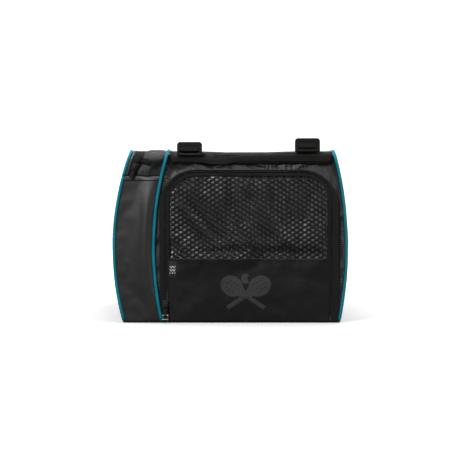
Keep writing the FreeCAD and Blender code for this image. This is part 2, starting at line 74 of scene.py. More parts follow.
def wall(belly_x, low_x, low_z=4 * MM):
    """The X of a bulging wall at a height, moved outwards by grow: an arc through its belly and its foot."""
    rise, sag = BELLY - low_z, abs(belly_x - low_x)
    radius = (rise * rise + sag * sag) / (2 * sag)
    side = 1 if low_x > belly_x else -1
    centre = belly_x + side * radius
    return lambda z, grow=0.0: centre - side * np.sqrt((radius + grow) ** 2 - (z - BELLY) ** 2)


left = wall(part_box("paddle_outer_panel")[0].x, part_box("paddle_gusset_base")[0].x)
mid = wall(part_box("main_front_panel")[0].x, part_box("base_panel")[0].x)
right = wall(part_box("right_side_frame")[1].x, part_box("base_panel")[1].x)


# ---------------------------------------------------------------- materials

class Tree:
    """A short way to write a material's nodes."""

    def __init__(self, name):
        self.material = bpy.data.materials.new(name)
        self.material.use_nodes = True
        self.nodes = self.material.node_tree.nodes
        self.links = self.material.node_tree.links
        self.shader = self.nodes["Principled BSDF"]

    def set(self, socket, value):
        if isinstance(value, bpy.types.NodeSocket):
            self.links.new(value, socket)
        else:
            socket.default_value = value

    def add(self, kind, output=0, inputs=None, **properties):
        node = self.nodes.new(kind)
        for key, value in properties.items():
            setattr(node, key, value)
        for key, value in (inputs or {}).items():
            self.set(node.inputs[key], value)
        return node.outputs[output]

    def math(self, operation, *values):
        return self.add("ShaderNodeMath", inputs=dict(enumerate(values)), operation=operation)

    def uv(self):
        """The cloth's own flat coordinates, in metres."""
        split = self.nodes.new("ShaderNodeSeparateXYZ")
        self.links.new(self.add("ShaderNodeUVMap", uv_map="cloth"), split.inputs[0])
        return split.outputs[0], split.outputs[1]

    def place(self):
        return self.add("ShaderNodeTexCoord", output=3)

    def noise(self, scale, detail=3.0, vector=None, rough=0.5):
        return self.add("ShaderNodeTexNoise", inputs={"Vector": vector or self.place(), "Scale": scale,
                                                      "Detail": detail, "Roughness": rough})

    def ramp(self, value, low, high, to_low=0.0, to_high=1.0):
        return self.add("ShaderNodeMapRange", inputs={0: value, 1: low, 2: high, 3: to_low, 4: to_high})

    def mix(self, factor, first, second):
        node = self.nodes.new("ShaderNodeMix")
        node.data_type = "RGBA"
        self.set(node.inputs[0], factor)
        self.set(node.inputs[6], first)
        self.set(node.inputs[7], second)
        return node.outputs[2]

    def bump(self, height, distance, strength=1.0, normal=None):
        inputs = {"Height": height, "Distance": distance, "Strength": strength}
        if normal is not None:
            inputs["Normal"] = normal
        return self.add("ShaderNodeBump", inputs=inputs)

    def finish(self, **inputs):
        for key, value in inputs.items():
            self.set(self.shader.inputs[key.replace("_", " ")], value)
        return self.material


def grey(value, warm=0.0):
    """A near-neutral colour: warm above 0 leans to brown, and below 0 to blue."""
    return (value * (1 + warm), value, value * (1 - warm), 1)


def sines(t, u, v, pitch_u, pitch_v):
    """Threads crossing at right angles: the height of a plain weave."""
    a = t.math("SINE", t.math("MULTIPLY", u, 2 * math.pi / pitch_u))
    b = t.math("SINE", t.math("MULTIPLY", v, 2 * math.pi / pitch_v))
    return t.math("MULTIPLY", a, b)


def coated_fabric():
    """Polyurethane-coated cloth: satin, with a fine grain and cloudy gloss."""
    t = Tree("coated_fabric")
    cloud = t.noise(9, 4)
    grain = t.noise(1900, 2)
    colour = t.mix(t.ramp(cloud, 0.3, 0.7), grey(0.022, 0.02), grey(0.031, 0.01))
    scuff = t.ramp(t.noise(70, 6, rough=0.7), 0.58, 0.75)
    colour = t.mix(t.math("MULTIPLY", scuff, 0.35), colour, grey(0.055))
    normal = t.bump(grain, 0.12 * MM, 0.5)
    normal = t.bump(t.noise(45, 4), 1.2 * MM, 0.35, normal)
    return t.finish(Base_Color=colour, Roughness=t.ramp(cloud, 0.3, 0.7, 0.34, 0.46), Normal=normal,
                    Specular_IOR_Level=0.7, Sheen_Weight=0.04, Sheen_Roughness=0.4)


def ribbed_fabric(name="ribbed_fabric", emblem=False, gloss=0.0):
    """Ribbed polyester: fine ribs that drift in soft curves, with a printed emblem on the flap's piece."""
    t = Tree(name)
    u, v = t.uv()
    drift = t.math("MULTIPLY", t.noise(7, 1), 0.075)
    along = t.math("ADD", t.math("ADD", t.math("MULTIPLY", u, 0.93), t.math("MULTIPLY", v, 0.36)), drift)
    rib = t.math("SINE", t.math("MULTIPLY", along, 2 * math.pi / (3.7 * MM)))
    weave = sines(t, u, v, 0.9 * MM, 0.9 * MM)
    tone = t.ramp(rib, -1, 1)
    colour = t.mix(tone, grey(0.0045, 0.03), grey(0.0125, 0.02))
    colour = t.mix(t.ramp(t.noise(24, 4), 0.35, 0.7, 0, 0.35), colour, grey(0.015, 0.01))
    rough = t.ramp(tone, 0, 1, 0.62 - gloss, 0.42 - gloss)
    height = t.math("ADD", t.math("MULTIPLY", rib, 0.8), t.math("MULTIPLY", weave, 0.2))
    if emblem:
        mask = paddles_and_ball(t, u, v)
        colour = t.mix(t.math("MULTIPLY", mask, 0.94), colour, t.mix(tone, grey(0.050), grey(0.062)))
        rough = t.mix(mask, rough, (0.38, 0.38, 0.38, 1))
        height = t.math("ADD", height, t.math("MULTIPLY", mask, 0.7))
    normal = t.bump(height, 0.35 * MM, 0.6)
    return t.finish(Base_Color=colour, Roughness=rough, Normal=normal, Sheen_Weight=0.05, Sheen_Roughness=0.5,
                    Specular_IOR_Level=0.28 + 2 * gloss)


def paddles_and_ball(t, u, v):
    """A mask for a plain pictogram: two crossed paddles under a ball, centred on the flap's lower panel."""
    centre_u, centre_v = EMBLEM_CENTRE

    def inside(distance):
        return t.ramp(distance, -0.25 * MM, 0.25 * MM, 1, 0)

    def circle(x, y, cx, cy, radius, stretch=1.0):
        dx = t.math("SUBTRACT", x, cx)
        dy = t.math("MULTIPLY", t.math("SUBTRACT", y, cy), 1 / stretch)
        length = t.math("SQRT", t.math("ADD", t.math("MULTIPLY", dx, dx), t.math("MULTIPLY", dy, dy)))
        return t.math("SUBTRACT", length, radius)

    def box(x, y, cx, cy, half_x, half_y):
        dx = t.math("SUBTRACT", t.math("ABSOLUTE", t.math("SUBTRACT", x, cx)), half_x)
        dy = t.math("SUBTRACT", t.math("ABSOLUTE", t.math("SUBTRACT", y, cy)), half_y)
        return t.math("MAXIMUM", dx, dy)

    x0 = t.math("MULTIPLY", t.math("SUBTRACT", u, centre_u), 1 / EMBLEM_SIZE)
    y0 = t.math("MULTIPLY", t.math("SUBTRACT", v, centre_v), 1 / EMBLEM_SIZE)
    ball = circle(x0, y0, 0, 21 * MM, 6 * MM)
    ball = t.math("MAXIMUM", ball, t.math("MULTIPLY", circle(x0, y0, 6.5 * MM, 21 * MM, 4.6 * MM), -1))
    shape = ball
    for sign in (-1, 1):
        c, s = math.cos(math.radians(56)), math.sin(math.radians(56)) * sign
        x = t.math("ADD", t.math("MULTIPLY", x0, c), t.math("MULTIPLY", y0, s))
        y = t.math("SUBTRACT", t.math("MULTIPLY", y0, c), t.math("MULTIPLY", x0, s))
        head = circle(x, y, 0, 21 * MM, 12.5 * MM, 1.18)
        neck = t.math("MAXIMUM", box(x, y, 0, 3 * MM, 6 * MM, 6 * MM),
                      t.math("SUBTRACT", t.math("ABSOLUTE", x), t.math("ADD", t.math("MULTIPLY", y, 0.45), 3 * MM)))
        grip = box(x, y, 0, -15 * MM, 2.6 * MM, 13 * MM)
        wrap = t.math("SUBTRACT", 0.5 * MM, t.math("ABSOLUTE", t.math("ADD", y, 4.5 * MM)))
        cell = [t.math("WRAP", q, 2.4 * MM, -2.4 * MM) for q in (x, t.math("SUBTRACT", y, 21 * MM))]
        dot = t.math("SUBTRACT", t.math("SQRT", t.math("ADD", t.math("MULTIPLY", cell[0], cell[0]),
                                                       t.math("MULTIPLY", cell[1], cell[1]))), 0.85 * MM)
        field = circle(x, y, 0, 21 * MM, 8.3 * MM, 1.18)
        dots = t.math("MAXIMUM", dot, field)
        head = t.math("MAXIMUM", head, t.math("MULTIPLY", dots, -1))
        one = t.math("MINIMUM", t.math("MINIMUM", head, neck), t.math("MAXIMUM", grip, wrap))
        shape = t.math("MINIMUM", shape, one)
    return inside(shape)


def light_nylon():
    """Thin plain-woven nylon with a cool sheen."""
    t = Tree("light_nylon")
    u, v = t.uv()
    weave = sines(t, u, v, 1.1 * MM, 1.1 * MM)
    colour = t.mix(t.ramp(weave, -1, 1), grey(0.0035, -0.10), grey(0.0080, -0.14))
    normal = t.bump(weave, 0.12 * MM, 0.4)
    normal = t.bump(t.noise(120, 3), 0.8 * MM, 0.3, normal)
    return t.finish(Base_Color=colour, Roughness=0.48, Normal=normal, Sheen_Weight=0.08, Sheen_Roughness=0.35,
                    Specular_IOR_Level=0.45)


def webbing(name="webbing", tone=0.014, warm=0.08, pitch=2.2):
    """Woven webbing: a fine chevron across its width."""
    t = Tree(name)
    u, v = t.uv()
    fold = t.math("ABSOLUTE", t.math("SUBTRACT", t.math("FRACT", t.math("MULTIPLY", v, 1 / (7 * MM))), 0.5))
    chevron = t.math("SINE", t.math("MULTIPLY", t.math("ADD", u, t.math("MULTIPLY", fold, 7 * MM)),
                                    2 * math.pi / (pitch * MM)))
    fuzz = t.noise(700, 3)
    tone_low, tone_high = grey(tone * 0.65, warm), grey(tone * 1.55, warm)
    colour = t.mix(t.ramp(t.math("ADD", chevron, fuzz), -0.7, 1.6), tone_low, tone_high)
    normal = t.bump(chevron, 0.25 * MM, 0.6)
    return t.finish(Base_Color=colour, Roughness=0.68, Normal=normal, Sheen_Weight=0.05, Sheen_Roughness=0.5,
                    Specular_IOR_Level=0.22)


def spacer_mesh():
    """Padded spacer mesh: rows of small round cells in a dark knit."""
    t = Tree("spacer_mesh")
    u, v = t.uv()
    cells = t.add("ShaderNodeCombineXYZ", inputs={0: u, 1: t.math("MULTIPLY", v, 0.8), 2: 0.0})
    dots = t.add("ShaderNodeTexVoronoi", inputs={"Vector": cells, "Scale": 330.0, "Randomness": 0.18})
    hole = t.ramp(dots, 0.18, 0.36)
    # the cells are coloured far darker than the knit round them: painted shade in the holes
    colour = t.mix(hole, grey(0.004), grey(0.024, 0.03))
    normal = t.bump(hole, 0.7 * MM, 0.8)
    return t.finish(Base_Color=colour, Roughness=0.8, Normal=normal, Sheen_Weight=0.08, Sheen_Roughness=0.5,
                    Specular_IOR_Level=0.25)


def satin_lining():
    """Pale grey satin: long fine threads, with soft clouds of paler and darker grey in its colour that are painted
    highlight and shade for the light on its folds.
    """
    t = Tree("satin_lining")
    place = t.place()
    cloud = t.noise(22, 3, place)
    thread = t.noise(900, 2, place)
    # the colour's soft clouds, from darker to paler grey, are painted highlight and shade: they stand in for the
    # light that the lining's folds catch
    colour = t.mix(t.ramp(cloud, 0.36, 0.66), grey(0.18, 0.01), grey(0.31, 0.01))
    normal = t.bump(thread, 0.15 * MM, 0.4)
    return t.finish(Base_Color=colour, Metallic=0.3, Roughness=0.46, Normal=normal, Sheen_Weight=0.05,
                    Specular_IOR_Level=0.5)


def foil_lining():
    """Reflective thermal film: crinkled silver."""
    t = Tree("foil_lining")
    crinkle = t.add("ShaderNodeTexVoronoi", inputs={"Vector": t.place(), "Scale": 60.0, "Randomness": 1.0})
    normal = t.bump(t.math("ADD", crinkle, t.noise(160, 4)), 1.2 * MM, 0.5)
    return t.finish(Base_Color=t.mix(t.noise(30, 2), grey(0.42), grey(0.62)), Metallic=0.85, Roughness=0.34,
                    Normal=normal)


def net_thread():
    """The thread of the open net."""
    t = Tree("net_thread")
    fuzz = t.noise(1500, 3)
    colour = t.mix(fuzz, grey(0.005, 0.03), grey(0.013, 0.03))
    return t.finish(Base_Color=colour, Roughness=0.7, Normal=t.bump(fuzz, 0.2 * MM, 0.5), Sheen_Weight=0.05,
                    Specular_IOR_Level=0.25)


def piping_cord():
    """Turquoise piping: smooth coated cord with a faint twist and dirt in places."""
    t = Tree("piping_cord")
    cloud = t.noise(35, 4)
    colour = t.mix(t.ramp(cloud, 0.35, 0.7), (0.0005, 0.205, 0.290, 1), (0.0012, 0.270, 0.370, 1))
    normal = t.bump(t.noise(1300, 2), 0.1 * MM, 0.4)
    return t.finish(Base_Color=colour, Roughness=t.ramp(cloud, 0.3, 0.7, 0.5, 0.64), Normal=normal,
                    Specular_IOR_Level=0.25)


def moulded_plastic(name="moulded_plastic", tone=0.012):
    """Black moulded plastic: fine spark-erosion texture, paler where it is rubbed."""
    t = Tree(name)
    spark = t.noise(2400, 2)
    worn = t.ramp(t.noise(110, 5, rough=0.65), 0.55, 0.72)
    colour = t.mix(t.math("MULTIPLY", worn, 0.5), grey(tone), grey(tone * 3))
    return t.finish(Base_Color=colour, Roughness=t.ramp(worn, 0, 1, 0.34, 0.28), Normal=t.bump(spark, 0.08 * MM,
                                                                                               0.5),
                    Specular_IOR_Level=0.5)


def plated_metal():
    """Nickel plating, lightly brushed and smudged."""
    t = Tree("plated_metal")
    smudge = t.noise(260, 5)
    colour = t.mix(t.ramp(smudge, 0.35, 0.7), grey(0.50), grey(0.72, 0.01))
    return t.finish(Base_Color=colour, Metallic=1.0, Roughness=t.ramp(smudge, 0.3, 0.7, 0.22, 0.38),
                    Normal=t.bump(smudge, 0.05 * MM, 0.4))


def damask_label():
    """A black woven label with a pale pattern of plain chevrons."""
    t = Tree("damask_label")
    u, v = t.uv()
    zig = t.math("ABSOLUTE", t.math("SUBTRACT", t.math("FRACT", t.math("MULTIPLY", u, 1 / (4.4 * MM))), 0.5))
    wave = t.math("FRACT", t.math("ADD", t.math("MULTIPLY", v, 1 / (5.2 * MM)), zig))
    band = t.math("MULTIPLY", t.ramp(wave, 0.42, 0.48), t.ramp(wave, 0.80, 0.86, 1, 0))
    low, high = LABEL_PATTERN
    window = t.math("MULTIPLY", t.ramp(v, low, low + 0.4 * MM), t.ramp(v, high, high + 0.4 * MM, 1, 0))
    margin = t.math("MULTIPLY", t.ramp(u, 1.6 * MM, 2.0 * MM), t.ramp(u, 11.0 * MM, 11.4 * MM, 1, 0))
    weave = sines(t, u, v, 0.5 * MM, 0.5 * MM)
    mask = t.math("MULTIPLY", t.math("MULTIPLY", band, window), margin)
    colour = t.mix(mask, grey(0.004), grey(0.55))
    return t.finish(Base_Color=colour, Roughness=0.6, Normal=t.bump(weave, 0.1 * MM, 0.5), Sheen_Weight=0.2)


def board_plastic():
    """The stiffener under the floor of the main compartment: matt sheet with a pressed grain."""
    t = Tree("board_plastic")
    grain = t.noise(400, 4)
    return t.finish(Base_Color=t.mix(grain, grey(0.018), grey(0.034)), Roughness=0.6,
                    Normal=t.bump(grain, 0.3 * MM, 0.5))


def thread():
    t = Tree("stitch_thread")
    twist = t.noise(2200, 2)
    return t.finish(Base_Color=t.mix(twist, grey(0.016), grey(0.045)), Roughness=0.6,
                    Normal=t.bump(twist, 0.1 * MM, 0.5))


# the emblem's and the label's places, in their pieces' own flat coordinates
EMBLEM_CENTRE = (25 * MM, 44 * MM)
EMBLEM_SIZE = 1.28
LABEL_PATTERN = (7 * MM, 20 * MM)

COATED = coated_fabric()
RIBBED = ribbed_fabric()
RIBBED_TAUT = ribbed_fabric("ribbed_fabric_glossy", gloss=0.12)
RIBBED_PRINTED = ribbed_fabric("ribbed_fabric_printed", emblem=True)
NYLON = light_nylon()
WEBBING = webbing()
TAPE = webbing("zip_tape", tone=0.0068, warm=0.14, pitch=1.6)
BAND = webbing("edge_band", tone=0.0085, warm=0.14, pitch=2.6)
SPACER = spacer_mesh()
SATIN = satin_lining()
FOIL = foil_lining()
NET = net_thread()
PIPING = piping_cord()
PLASTIC = moulded_plastic()
METAL = plated_metal()
DARK_METAL = moulded_plastic("painted_metal", 0.03)
LABEL = damask_label()
BOARD = board_plastic()
THREAD = thread()


# ---------------------------------------------------------------- mesh helpers

def new_object(name, vertices, faces, material, uvs=None):
    """A smooth mesh object from plain lists. uvs gives each vertex its flat place on the cloth."""
    mesh = bpy.data.meshes.new(name)
    mesh.from_pydata([tuple(v) for v in vertices], [], [tuple(f) for f in faces])
    mesh.update()
    mesh.materials.append(material)
    mesh.polygons.foreach_set("use_smooth", [True] * len(mesh.polygons))
    if uvs is not None:
        layer = mesh.uv_layers.new(name="cloth")
        corners = np.empty(len(mesh.loops), int)
        mesh.loops.foreach_get("vertex_index", corners)
        layer.data.foreach_set("uv", np.asarray(uvs, float)[corners].ravel())
    obj = bpy.data.objects.new(name, mesh)
    bpy.context.scene.collection.objects.link(obj)
    return obj


def grid(x, y, z):
    """Points from coordinates of any matching shapes."""
    return np.stack(np.broadcast_arrays(x, y, z), axis=-1)


def grid_faces(rows, columns, wrap=False):
    """Quads of a grid whose points are numbered row by row."""
    last = rows if wrap else rows - 1
    return [(i * columns + j, ((i + 1) % rows) * columns + j, ((i + 1) % rows) * columns + j + 1,
             i * columns + j + 1) for i in range(last) for j in range(columns - 1)]


def apply_modifiers(obj):
    mesh = bpy.data.meshes.new_from_object(obj.evaluated_get(bpy.context.evaluated_depsgraph_get()))
    obj.modifiers.clear()
    obj.data = mesh
    return obj


CUTS = {}


def sheet_mesh(name, points, material, outwards, thick=1.2 * MM, flat=None, wrap=False):
    """A sewn panel from a grid of points: its inner face lies behind the points, away from outwards."""
    rows, columns = points.shape[:2]
    if flat is None:
        across = np.linalg.norm(np.diff(points, axis=0), axis=2).mean(1)
        along = np.linalg.norm(np.diff(points, axis=1), axis=2).mean(0)
        u, v = np.concatenate([[0], across.cumsum()]), np.concatenate([[0], along.cumsum()])
        flat = np.stack(np.meshgrid(u, v, indexing="ij"), axis=2)
    faces = grid_faces(rows, columns, wrap)
    p = points.reshape(-1, 3)
    middle = faces[(rows - 1) // 2 * (columns - 1) + (columns - 1) // 2]
    normal = np.cross(p[middle[1]] - p[middle[0]], p[middle[3]] - p[middle[0]])
    if normal @ np.asarray(outwards, float) < 0:
        faces = [face[::-1] for face in faces]
    obj = new_object(name, p, faces, material, flat.reshape(-1, 2))
    edges = [np.linalg.norm(p[[f[k] for f in faces]] - p[[f[k - 1] for f in faces]], axis=1) for k in (1, 2)]
    width, length = np.ptp(flat[..., 0]), np.ptp(flat[..., 1])
    CUTS[name] = (width, length, min(float((edges[0] * edges[1]).sum()), width * length))
    solid = obj.modifiers.new("thickness", "SOLIDIFY")
    solid.thickness, solid.offset = thick, -1
    smooth = obj.modifiers.new("smooth", "SUBSURF")
    smooth.levels = smooth.render_levels = 1
    return apply_modifiers(obj)


def sweep(name, path, radii, material, sides=10, closed=False, up=(0, 0, 1)):
    """A tube along a path. radii is one radius or one for each point."""
    path = np.asarray(path, float)
    count = len(path)
    radii = np.broadcast_to(radii, count)
    ahead = np.roll(path, -1, 0) - np.roll(path, 1, 0)
    if not closed:
        ahead[0], ahead[-1] = path[1] - path[0], path[-1] - path[-2]
    ahead /= np.linalg.norm(ahead, axis=1)[:, None]
    frame_up = np.asarray(up, float)
    side = np.cross(ahead, frame_up)
    weak = np.linalg.norm(side, axis=1) < 0.1
    side[weak] = np.cross(ahead[weak], (1, 0, 0))
    for i in range(1, count):  # keep neighbouring rings turned the same way
        if side[i] @ side[i - 1] < 0:
            side[i] *= -1
    side /= np.linalg.norm(side, axis=1)[:, None]
    lift = np.cross(side, ahead)
    angles = np.arange(sides) * 2 * math.pi / sides
    ring = side[:, None] * np.cos(angles)[None, :, None] + lift[:, None] * np.sin(angles)[None, :, None]
    points = (path[:, None] + ring * radii[:, None, None]).reshape(-1, 3)
    last = count if closed else count - 1
    faces = [(i * sides + j, i * sides + (j + 1) % sides, ((i + 1) % count) * sides + (j + 1) % sides,
              ((i + 1) % count) * sides + j) for i in range(last) for j in range(sides)]
    if not closed:
        faces += [tuple(range(sides))[::-1], tuple((count - 1) * sides + j for j in range(sides))]
    length = np.concatenate([[0], np.linalg.norm(np.diff(path, axis=0), axis=1).cumsum()])
    uvs = [(length[i], j * 1.0 * MM) for i in range(count) for j in range(sides)]
    return new_object(name, points, faces, material, uvs)


def resample(path, step):
    """Evenly spaced points along a polyline."""
    path = np.asarray(path, float)
    length = np.concatenate([[0], np.linalg.norm(np.diff(path, axis=0), axis=1).cumsum()])
    stations = np.linspace(0, length[-1], max(2, int(round(length[-1] / step)) + 1))
    return np.stack([np.interp(stations, length, path[:, k]) for k in range(3)], axis=1)


def stitches(name, lines, outwards, length=2.4 * MM, pitch=3.4 * MM, radius=0.32 * MM):
    """Rows of lockstitch: each stitch a small spindle that lies along its line."""
    vertices, faces = [], []
    for line in lines:
        stations = resample(line, pitch)
        for a, b in zip(stations[:-1], stations[1:]):
            ahead = (b - a) / np.linalg.norm(b - a)
            out = np.asarray(outwards(a) if callable(outwards) else outwards, float)
            side = np.cross(ahead, out)
            start, end = a + out * radius * 0.3, a + ahead * length + out * radius * 0.3
            base = len(vertices)
            vertices += [start, end]
            for share in (0.25, 0.75):
                centre = start + (end - start) * share
                vertices += [centre + side * radius, centre + out * radius, centre - side * radius,
                             centre - out * radius]
            for k in range(4):
                n = (k + 1) % 4
                faces += [(base, base + 2 + n, base + 2 + k), (base + 1, base + 6 + k, base + 6 + n),
                          (base + 2 + k, base + 2 + n, base + 6 + n, base + 6 + k)]
    return new_object(name, vertices, faces, THREAD)


def coil(name, path, outwards, radius=1.15 * MM, pitch=1.35 * MM, wire=0.34 * MM):
    """A zip's coil: a flattened helix along the path."""
    path = resample(path, pitch / 6)
    ahead = np.gradient(path, axis=0)
    ahead /= np.linalg.norm(ahead, axis=1)[:, None]
    out = np.array([outwards(p) for p in path]) if callable(outwards) else np.broadcast_to(outwards, path.shape)
    side = np.cross(ahead, out)
    turn = np.arange(len(path)) * (2 * math.pi / 6)
    helix = path + side * (np.cos(turn) * radius)[:, None] + out * (np.sin(turn) * radius * 0.5)[:, None]
    return sweep(name, helix, wire, PLASTIC, sides=4)


def clouds(a, b, size, seed, octaves=3):
    """Soft fractal unevenness over a cloth, from about -1 to 1."""
    values = [noise.fractal(Vector((x / size, y / size, seed * 7.31)), 1.0, 2.0, octaves)
              for x, y in zip(np.ravel(a), np.ravel(b))]
    return np.array(values).reshape(np.shape(a))


def crease(a, b, start, end, width, depth):
    """A fold from start to end on the cloth that fades at both ends. A negative depth is a valley."""
    (a0, b0), (a1, b1) = start, end
    da, db = a1 - a0, b1 - b0
    share = np.clip(((a - a0) * da + (b - b0) * db) / (da * da + db * db), 0, 1)
    away = np.hypot(a - a0 - share * da, b - b0 - share * db)
    return depth * np.exp(-(away / width) ** 2) * np.sin(math.pi * np.clip(share, 0.06, 0.94)) ** 0.6


def settle(a, b, height, pinned, grow=0.02, push=0.0, frames=16, stiffness=12.0, bending=0.4):
    """Cloth simulation of a flat panel, cut larger than its sewn edge by grow, and pushed out from behind.
    Returns the height of each point."""
    rows, columns = a.shape
    points = np.stack([a, b, height], axis=2).reshape(-1, 3)
    obj = new_object("settling", points, grid_faces(rows, columns), THREAD)
    obj.vertex_groups.new(name="sewn").add([int(i) for i in np.flatnonzero(pinned.ravel())], 1.0, "REPLACE")
    cloth = obj.modifiers.new("cloth", "CLOTH")
    settings = cloth.settings
    settings.vertex_group_mass = "sewn"
    settings.quality = 5
    settings.mass = 0.2
    settings.tension_stiffness = settings.compression_stiffness = stiffness
    settings.shear_stiffness = stiffness / 3
    settings.bending_stiffness = bending
    settings.air_damping = 2.0
    settings.shrink_min = -grow
    settings.effector_weights.gravity = 0.0
    if push:
        settings.use_pressure = True
        settings.uniform_pressure_force = push
    scene = bpy.context.scene
    for step in range(1, frames + 1):
        scene.frame_set(step)
    evaluated = obj.evaluated_get(bpy.context.evaluated_depsgraph_get())
    settled = np.array([v.co.z for v in evaluated.data.vertices]).reshape(rows, columns)
    mesh = obj.data
    bpy.data.objects.remove(obj)
    bpy.data.meshes.remove(mesh)
    scene.frame_set(1)
    return settled


def border(shape):
    edge = np.ones(shape, bool)
    edge[1:-1, 1:-1] = False
    return edge


def on_front(x, z, h):
    return grid(x, FRONT - h, z)


def on_rear(x, z, h):
    return grid(x, REAR + h, z)


def on_right(y, z, h):
    return grid(right(z, h), y, z)


def on_left(y, z, h):
    return grid(left(z, h), y, z)


def keep(node, material, bevel=0.0):
    """A CAD node that shows as it is, with a better material and softer edges."""
    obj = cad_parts[node]
    obj.data.materials.clear()
    obj.data.materials.append(material)
    if bevel:
        rounding = obj.modifiers.new("rounding", "BEVEL")
        rounding.width, rounding.segments, rounding.limit_method = bevel, 3, "ANGLE"
        rounding.harden_normals = True
    return obj


# ---------------------------------------------------------------- how a piece joins the model

LEAST_AREA = 0.301  # of a sheet's flat size, a little over the least that the export takes


def join(obj, body, slot, *nodes):
    """obj moves with body; given two bodies as (a, b, start, end), its place is only baked into its mesh and it is
    attached to neither. It stands for CAD nodes, which it hides.
    """
    if isinstance(body, str):
        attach(obj, body)
    else:
        first, second, start, end = body
        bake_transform(obj)
        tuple(start)
        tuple(end)
    if nodes:
        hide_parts(*nodes)
    width, length, area = CUTS.get(obj.name, (0, 0, 0))
    if min(width, length) > 20 * MM:
        max(area, LEAST_AREA * width * length)
    return obj


class Panel:
    """Cloth between two edges, lo and hi, which may vary with height: a grid of heights over its flat cut."""

    def __init__(self, lo, hi, low, high, columns, rows):
        self.lo, self.hi = lo, hi
        self.b1 = np.linspace(low, high, rows)
        share = np.linspace(0, 1, columns)
        self.a = lo(self.b1)[None] + share[:, None] * (hi(self.b1) - lo(self.b1))[None]
        self.b = np.broadcast_to(self.b1, self.a.shape)
        self.share = np.broadcast_to(share[:, None], self.a.shape)
        self.up = np.broadcast_to(np.linspace(0, 1, rows), self.a.shape)
        self.h = np.zeros(self.a.shape)

    def crown(self, height, power=0.6):
        self.h = self.h + height * np.sin(math.pi * self.share) ** power * np.sin(math.pi * self.up) ** power
        return self

    def folds(self, folds):
        for start, end, width, depth in folds:
            start, end = [(p[0] * MM, p[1] * MM) for p in (start, end)]
            self.h = self.h + crease(self.a, self.b, start, end, width * MM, depth * MM)
        return self

    def cloud(self, size, depth, seed):
        across, along = (np.clip(6 * np.minimum(share, 1 - share), 0, 1) for share in (self.share, self.up))
        self.h = self.h + clouds(self.a, self.b, size, seed) * depth * (across * along)
        return self

    def settle(self, **how):
        self.h = settle(self.a, self.b, self.h, border(self.a.shape), **how)
        return self

    def at(self, a, b):
        """The height of the cloth at any place of its flat cut."""
        columns, rows = self.a.shape
        s = np.clip((a - self.lo(b)) / (self.hi(b) - self.lo(b)), 0, 1) * (columns - 1)
        t = np.clip((b - self.b1[0]) / (self.b1[-1] - self.b1[0]), 0, 1) * (rows - 1)
        i, j = np.minimum(s.astype(int), columns - 2), np.minimum(t.astype(int), rows - 2)
        s, t = s - i, t - j
        h = self.h
        return ((h[i, j] * (1 - s) + h[i + 1, j] * s) * (1 - t) + (h[i, j + 1] * (1 - s) + h[i + 1, j + 1] * s) * t)

    def mesh(self, name, place, material, outwards, **how):
        flat = np.stack([self.a, self.b], axis=2)
        return sheet_mesh(name, place(self.a, self.b, self.h), material, outwards, flat=flat, **how)


def constant(value):
    return lambda z: np.full(np.shape(z), float(value))


def rounded_edges(low, high, top, corner, inset=0.0):
    """The two edges of an outline with straight sides and rounded top corners."""
    def cut(z):
        rise = np.clip(z - (top - corner), 0, corner)
        return inset + corner - np.sqrt(corner ** 2 - rise ** 2)
    return lambda z: low + cut(z), lambda z: high - cut(z)


CORNER = 14 * MM  # how round the bag is where its front and rear turn into its top


def half_depth(z):
    rise = np.clip(z - (TOP - CORNER), 0, CORNER)
    return REAR - CORNER + np.sqrt(CORNER ** 2 - rise ** 2)


def u_outline(low, high, bottom, top, corner, step=5 * MM):
    """The U round a flap or door, up its left side, over its top and down its right: points, and the way out."""
    legs = np.linspace(bottom, top - corner, max(2, int((top - corner - bottom) / step)))
    turn = np.linspace(math.pi, math.pi / 2, 12)[1:-1]
    middle = np.linspace(low + corner, high - corner, max(2, int((high - low - 2 * corner) / step)))
    points = [(low, z) for z in legs]
    out = [(-1.0, 0.0)] * len(legs)
    points += [(low + corner + corner * math.cos(t), top - corner + corner * math.sin(t)) for t in turn]
    out += [(math.cos(t), math.sin(t)) for t in turn]
    points += [(x, top) for x in middle]
    out += [(0.0, 1.0)] * len(middle)
    points += [(high - corner - corner * math.cos(t), top - corner + corner * math.sin(t)) for t in turn[::-1]]
    out += [(-math.cos(t), math.sin(t)) for t in turn[::-1]]
    points += [(high, z) for z in legs[::-1]]
    out += [(1.0, 0.0)] * len(legs)
    return np.array(points), np.array(out)


def to_edge(points, out, lo, hi, top):
    """How far it is from each point of the U to the panel's own edge, the way out."""
    far, level = 9, 1e-6
    leans, rises = np.abs(out[:, 0]) > level, out[:, 1] > level
    distance = np.zeros(len(points))
    for _ in range(12):
        b = np.minimum(points[:, 1] + distance * out[:, 1], top)
        edge = np.where(out[:, 0] < 0, lo(b), hi(b))
        sideways = np.where(leans, (edge - points[:, 0]) / np.where(leans, out[:, 0], 1), far)
        upwards = np.where(rises, (top - points[:, 1]) / np.where(rises, out[:, 1], 1), far)
        distance = distance * 0.4 + np.minimum(sideways, upwards) * 0.6
    return distance


def u_strip(name, outline, start, stop, columns, height, place, material, outwards, **how):
    """A strip of cloth round the U, from start to stop outside it; both may vary along it."""
    points, out = outline
    share = np.linspace(0, 1, columns)
    start, stop = np.broadcast_to(start, len(points)), np.broadcast_to(stop, len(points))
    away = start[:, None] + share * (stop - start)[:, None]
    a = points[:, :1] + out[:, :1] * away
    b = points[:, 1:] + out[:, 1:] * away
    h = height(a, b, away, np.broadcast_to(share, away.shape))
    return sheet_mesh(name, place(a, b, h), material, outwards, **how)


def u_line(outline, away, place, h):
    points, out = outline
    a, b = points[:, 0] + out[:, 0] * away, points[:, 1] + out[:, 1] * away
    return place(a, b, h if np.ndim(h) or not callable(h) else h(a, b))


